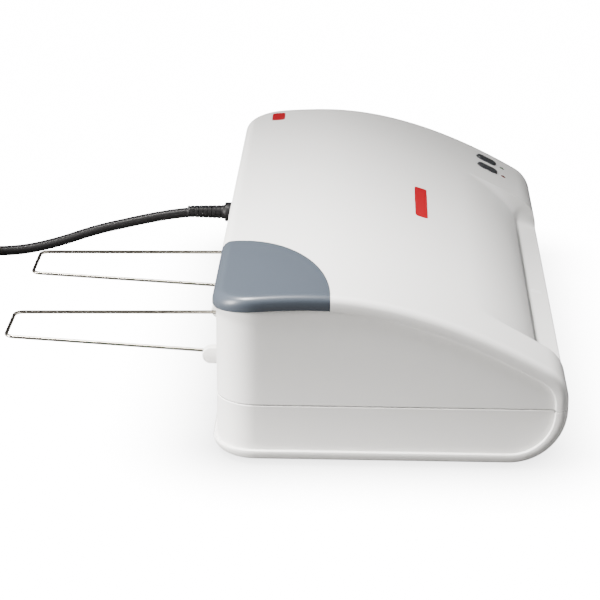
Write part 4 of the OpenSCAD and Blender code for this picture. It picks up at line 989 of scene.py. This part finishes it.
shellLook = {"colour": (0.79, 0.785, 0.77), "rough": 0.42, "spec": 0.45, "drift": 0.03, "speck": 0.015,
             "bump": 0.05}
trayLook = {**shellLook, "colour": (0.775, 0.768, 0.75), "rough": 0.44}
capLook = {**shellLook, "colour": (0.047, 0.057, 0.072), "rough": 0.36, "speck": 0.03}
looks = {
    "white_plastic": shellLook, "ivory_plastic": trayLook, "grey_plastic": capLook,
    "red_inlay": {"colour": (0.3, 0.002, 0.009), "rough": 0.45, "spec": 0.25, "drift": 0.05},
    "pale_mark": {"colour": (0.93, 0.93, 0.92), "rough": 0.35, "drift": 0.02},
    "black_plastic": {"colour": (0.02, 0.02, 0.021), "rough": 0.5, "drift": 0.1},
    "zinc_steel": {"colour": (0.6, 0.61, 0.62), "rough": 0.34, "metal": 1.0, "drift": 0.12, "broad": 90.0,
                   "roughDrift": 0.15},
    "aluminium": {"colour": (0.78, 0.78, 0.79), "rough": 0.3, "metal": 1.0, "stretch": (1, 40, 40),
                  "broad": 60.0, "drift": 0.1},
    "mica": {"colour": (0.42, 0.31, 0.14), "rough": 0.55, "drift": 0.25, "broad": 120.0},
    "ceramic": {"colour": (0.75, 0.68, 0.56), "rough": 0.3, "drift": 0.06},
    "bush_plastic": {"colour": (0.72, 0.64, 0.42), "rough": 0.45, "drift": 0.06},
    "spring_steel": {"colour": (0.5, 0.5, 0.5), "rough": 0.28, "metal": 1.0},
    "shaft_steel": {"colour": (0.68, 0.68, 0.69), "rough": 0.2, "metal": 1.0, "stretch": (40, 1, 1),
                    "broad": 60.0},
    "silicone": {"colour": (0.5, 0.17, 0.07), "rough": 0.6, "drift": 0.08, "bump": 0.15},
    "gear_plastic": {"colour": (0.86, 0.86, 0.82), "rough": 0.38, "drift": 0.04},
    "motor_steel": {"colour": (0.45, 0.45, 0.46), "rough": 0.33, "metal": 1.0, "drift": 0.1},
    "circuit_board": {"colour": (0.02, 0.2, 0.07), "rough": 0.35, "coat": 0.3, "drift": 0.1},
    "component_plastic": {"colour": (0.12, 0.12, 0.13), "rough": 0.4, "drift": 0.4, "broad": 60.0},
    "button_plastic": {"colour": (0.03, 0.032, 0.035), "rough": 0.38, "drift": 0.06},
    "red_lens": {"colour": (0.16, 0.03, 0.03), "rough": 0.12, "coat": 0.8},
    "green_lens": {"colour": (0.05, 0.12, 0.06), "rough": 0.12, "coat": 0.8},
    "wire_sheath": {"colour": (0.03, 0.03, 0.035), "rough": 0.4},
    "foot_rubber": {"colour": (0.03, 0.03, 0.03), "rough": 0.75, "bump": 0.2},
    "support_wire": {"colour": (0.36, 0.335, 0.285), "rough": 0.24, "metal": 1.0, "drift": 0.08,
                     "broad": 200.0},
    "cord_plastic": {"colour": (0.006, 0.0057, 0.0062), "rough": 0.45, "spec": 0.3, "drift": 0.15,
                     "bump": 0.06},
}
materials = {name: surface(name, look) for name, look in looks.items()}
slotOf = {part["node"]: part["material_slot"] for part in frame["record"]["subparts"]}
for node, o in frame["nodes"].items():
    o.data.materials.clear()
    o.data.materials.append(materials[slotOf[node]])
for o in list(bpy.data.objects):
    if o.get("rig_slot") and o.get("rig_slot") in materials and o.type in ("MESH", "CURVE"):
        o.data.materials.clear()
        o.data.materials.append(materials[o["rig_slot"]])
say("materials")

# Floor and light; the floor's glow carries a painted shadow round the machine
# the stage's darkest glow level and its reach set the painted shadow: how dark the floor gets at the machine and
# how far that spreads
stageSet = {"albedo": 0.12, "glow": 16.0, "paintedShadowLevel": 0.08, "reach": 0.095, "ambient": 0.07, "size": 7000.0}
w = stageSet["size"]
floorObject = newObject("floor", [(-w, -w, -0.05), (w, -w, -0.05), (w, w, -0.05), (-w, w, -0.05)],
                        [(0, 1, 2, 3)])
floorMat = bpy.data.materials.new("floor")
floorMat.use_nodes = True
floorMat.node_tree.nodes.clear()
k = NodeMaker(floorMat.node_tree)
dull = k.make("ShaderNodeBsdfDiffuse")
dull.inputs[0].default_value = (stageSet["albedo"],) * 3 + (1,)
part = k.make("ShaderNodeSeparateXYZ", None, Vector=k.make("ShaderNodeTexCoord").outputs["Object"])


def outside(axis, middle, half):
    return (k.wrap(part.outputs[axis]) - middle).math("ABSOLUTE").math("SUBTRACT", half).math("MAXIMUM", 0.0)


# painted shadow: the floor's glow falls to its darkest level in a soft zone round the machine's footprint and
# fades back to full over the reach
dx, dy = outside(0, 0.0, 0.15), outside(1, (yFront + yRear) / 2 / mm + 0.004,
                                        (yRear - yFront) / 2 / mm - 0.03)
away = ((dx * dx + dy * dy).math("SQRT") * (1 / stageSet["reach"])).clamped()
shade = (away * away * (away * -2.0 + 3.0)) * (1 - stageSet["paintedShadowLevel"]) + stageSet["paintedShadowLevel"]
paintedShadowTint = k.make("ShaderNodeMix", {"data_type": "RGBA"}, i0=shade, i6=(0, 0, 0, 1), i7=(1, 1, 1, 1))
glow = k.make("ShaderNodeEmission", None, Color=paintedShadowTint.outputs[2])
glow.inputs["Strength"].default_value = stageSet["glow"]
both = k.make("ShaderNodeAddShader", None, i0=dull.outputs[0], i1=glow.outputs[0])
seen = k.make("ShaderNodeLightPath").outputs["Is Camera Ray"]
pick = k.make("ShaderNodeMixShader", None, i0=seen, i1=dull.outputs[0], i2=both.outputs[0])
k.make("ShaderNodeOutputMaterial", None, Surface=pick.outputs[0])
floorObject.data.materials.append(floorMat)
world = bpy.data.worlds.new("studio")
bpy.context.scene.world = world
world.use_nodes = True
world.node_tree.nodes.clear()
k = NodeMaker(world.node_tree)
soft, white = k.make("ShaderNodeBackground"), k.make("ShaderNodeBackground")
for node, strength in ((soft, stageSet["ambient"]), (white, stageSet["glow"])):
    node.inputs[0].default_value = (1, 1, 1, 1)
    node.inputs[1].default_value = strength
seen = k.make("ShaderNodeLightPath").outputs["Is Camera Ray"]
pick = k.make("ShaderNodeMixShader", None, i0=seen, i1=soft.outputs[0], i2=white.outputs[0])
k.make("ShaderNodeOutputWorld", None, Surface=pick.outputs[0])


def softLight(name, s):
    data = bpy.data.lights.new(name, s["kind"])
    if s["kind"] == "AREA":
        data.shape, data.size, data.size_y = "RECTANGLE", s["size"][0], s["size"][1]
    else:
        data.shadow_soft_size, data.spot_size, data.spot_blend = s["size"][0], math.radians(s["cone"]), 1.0
    data.energy, data.color = s["power"], s.get("colour", (1, 1, 1))
    o = bpy.data.objects.new(name, data)
    bpy.context.scene.collection.objects.link(o)
    o.location = s["place"]
    o.rotation_mode = "QUATERNION"
    o.rotation_quaternion = (Vector(s["target"]) - Vector(s["place"])).to_track_quat("-Z", "Y")
    return o


lights = {
    "over": {"kind": "SPOT", "place": (-0.25, 0.55, 1.3), "target": (-0.15, 0.01, 0.08), "size": (0.22, 0),
             "cone": 27, "power": 520.0, "colour": (1.0, 0.985, 0.965)},
    "rear": {"kind": "AREA", "place": (-0.45, 1.1, 0.3), "target": (-0.15, 0, 0.05), "size": (0.35, 0.6),
             "power": 44.0, "colour": (1.0, 0.975, 0.95)},
    "front": {"kind": "AREA", "place": (-0.3, -1.1, 0.8), "target": (0, -0.06, 0.05), "size": (0.5, 0.5),
              "power": 7.0},
}
for name, s in lights.items():
    softLight(name, s)
say("stage")
writeSize()
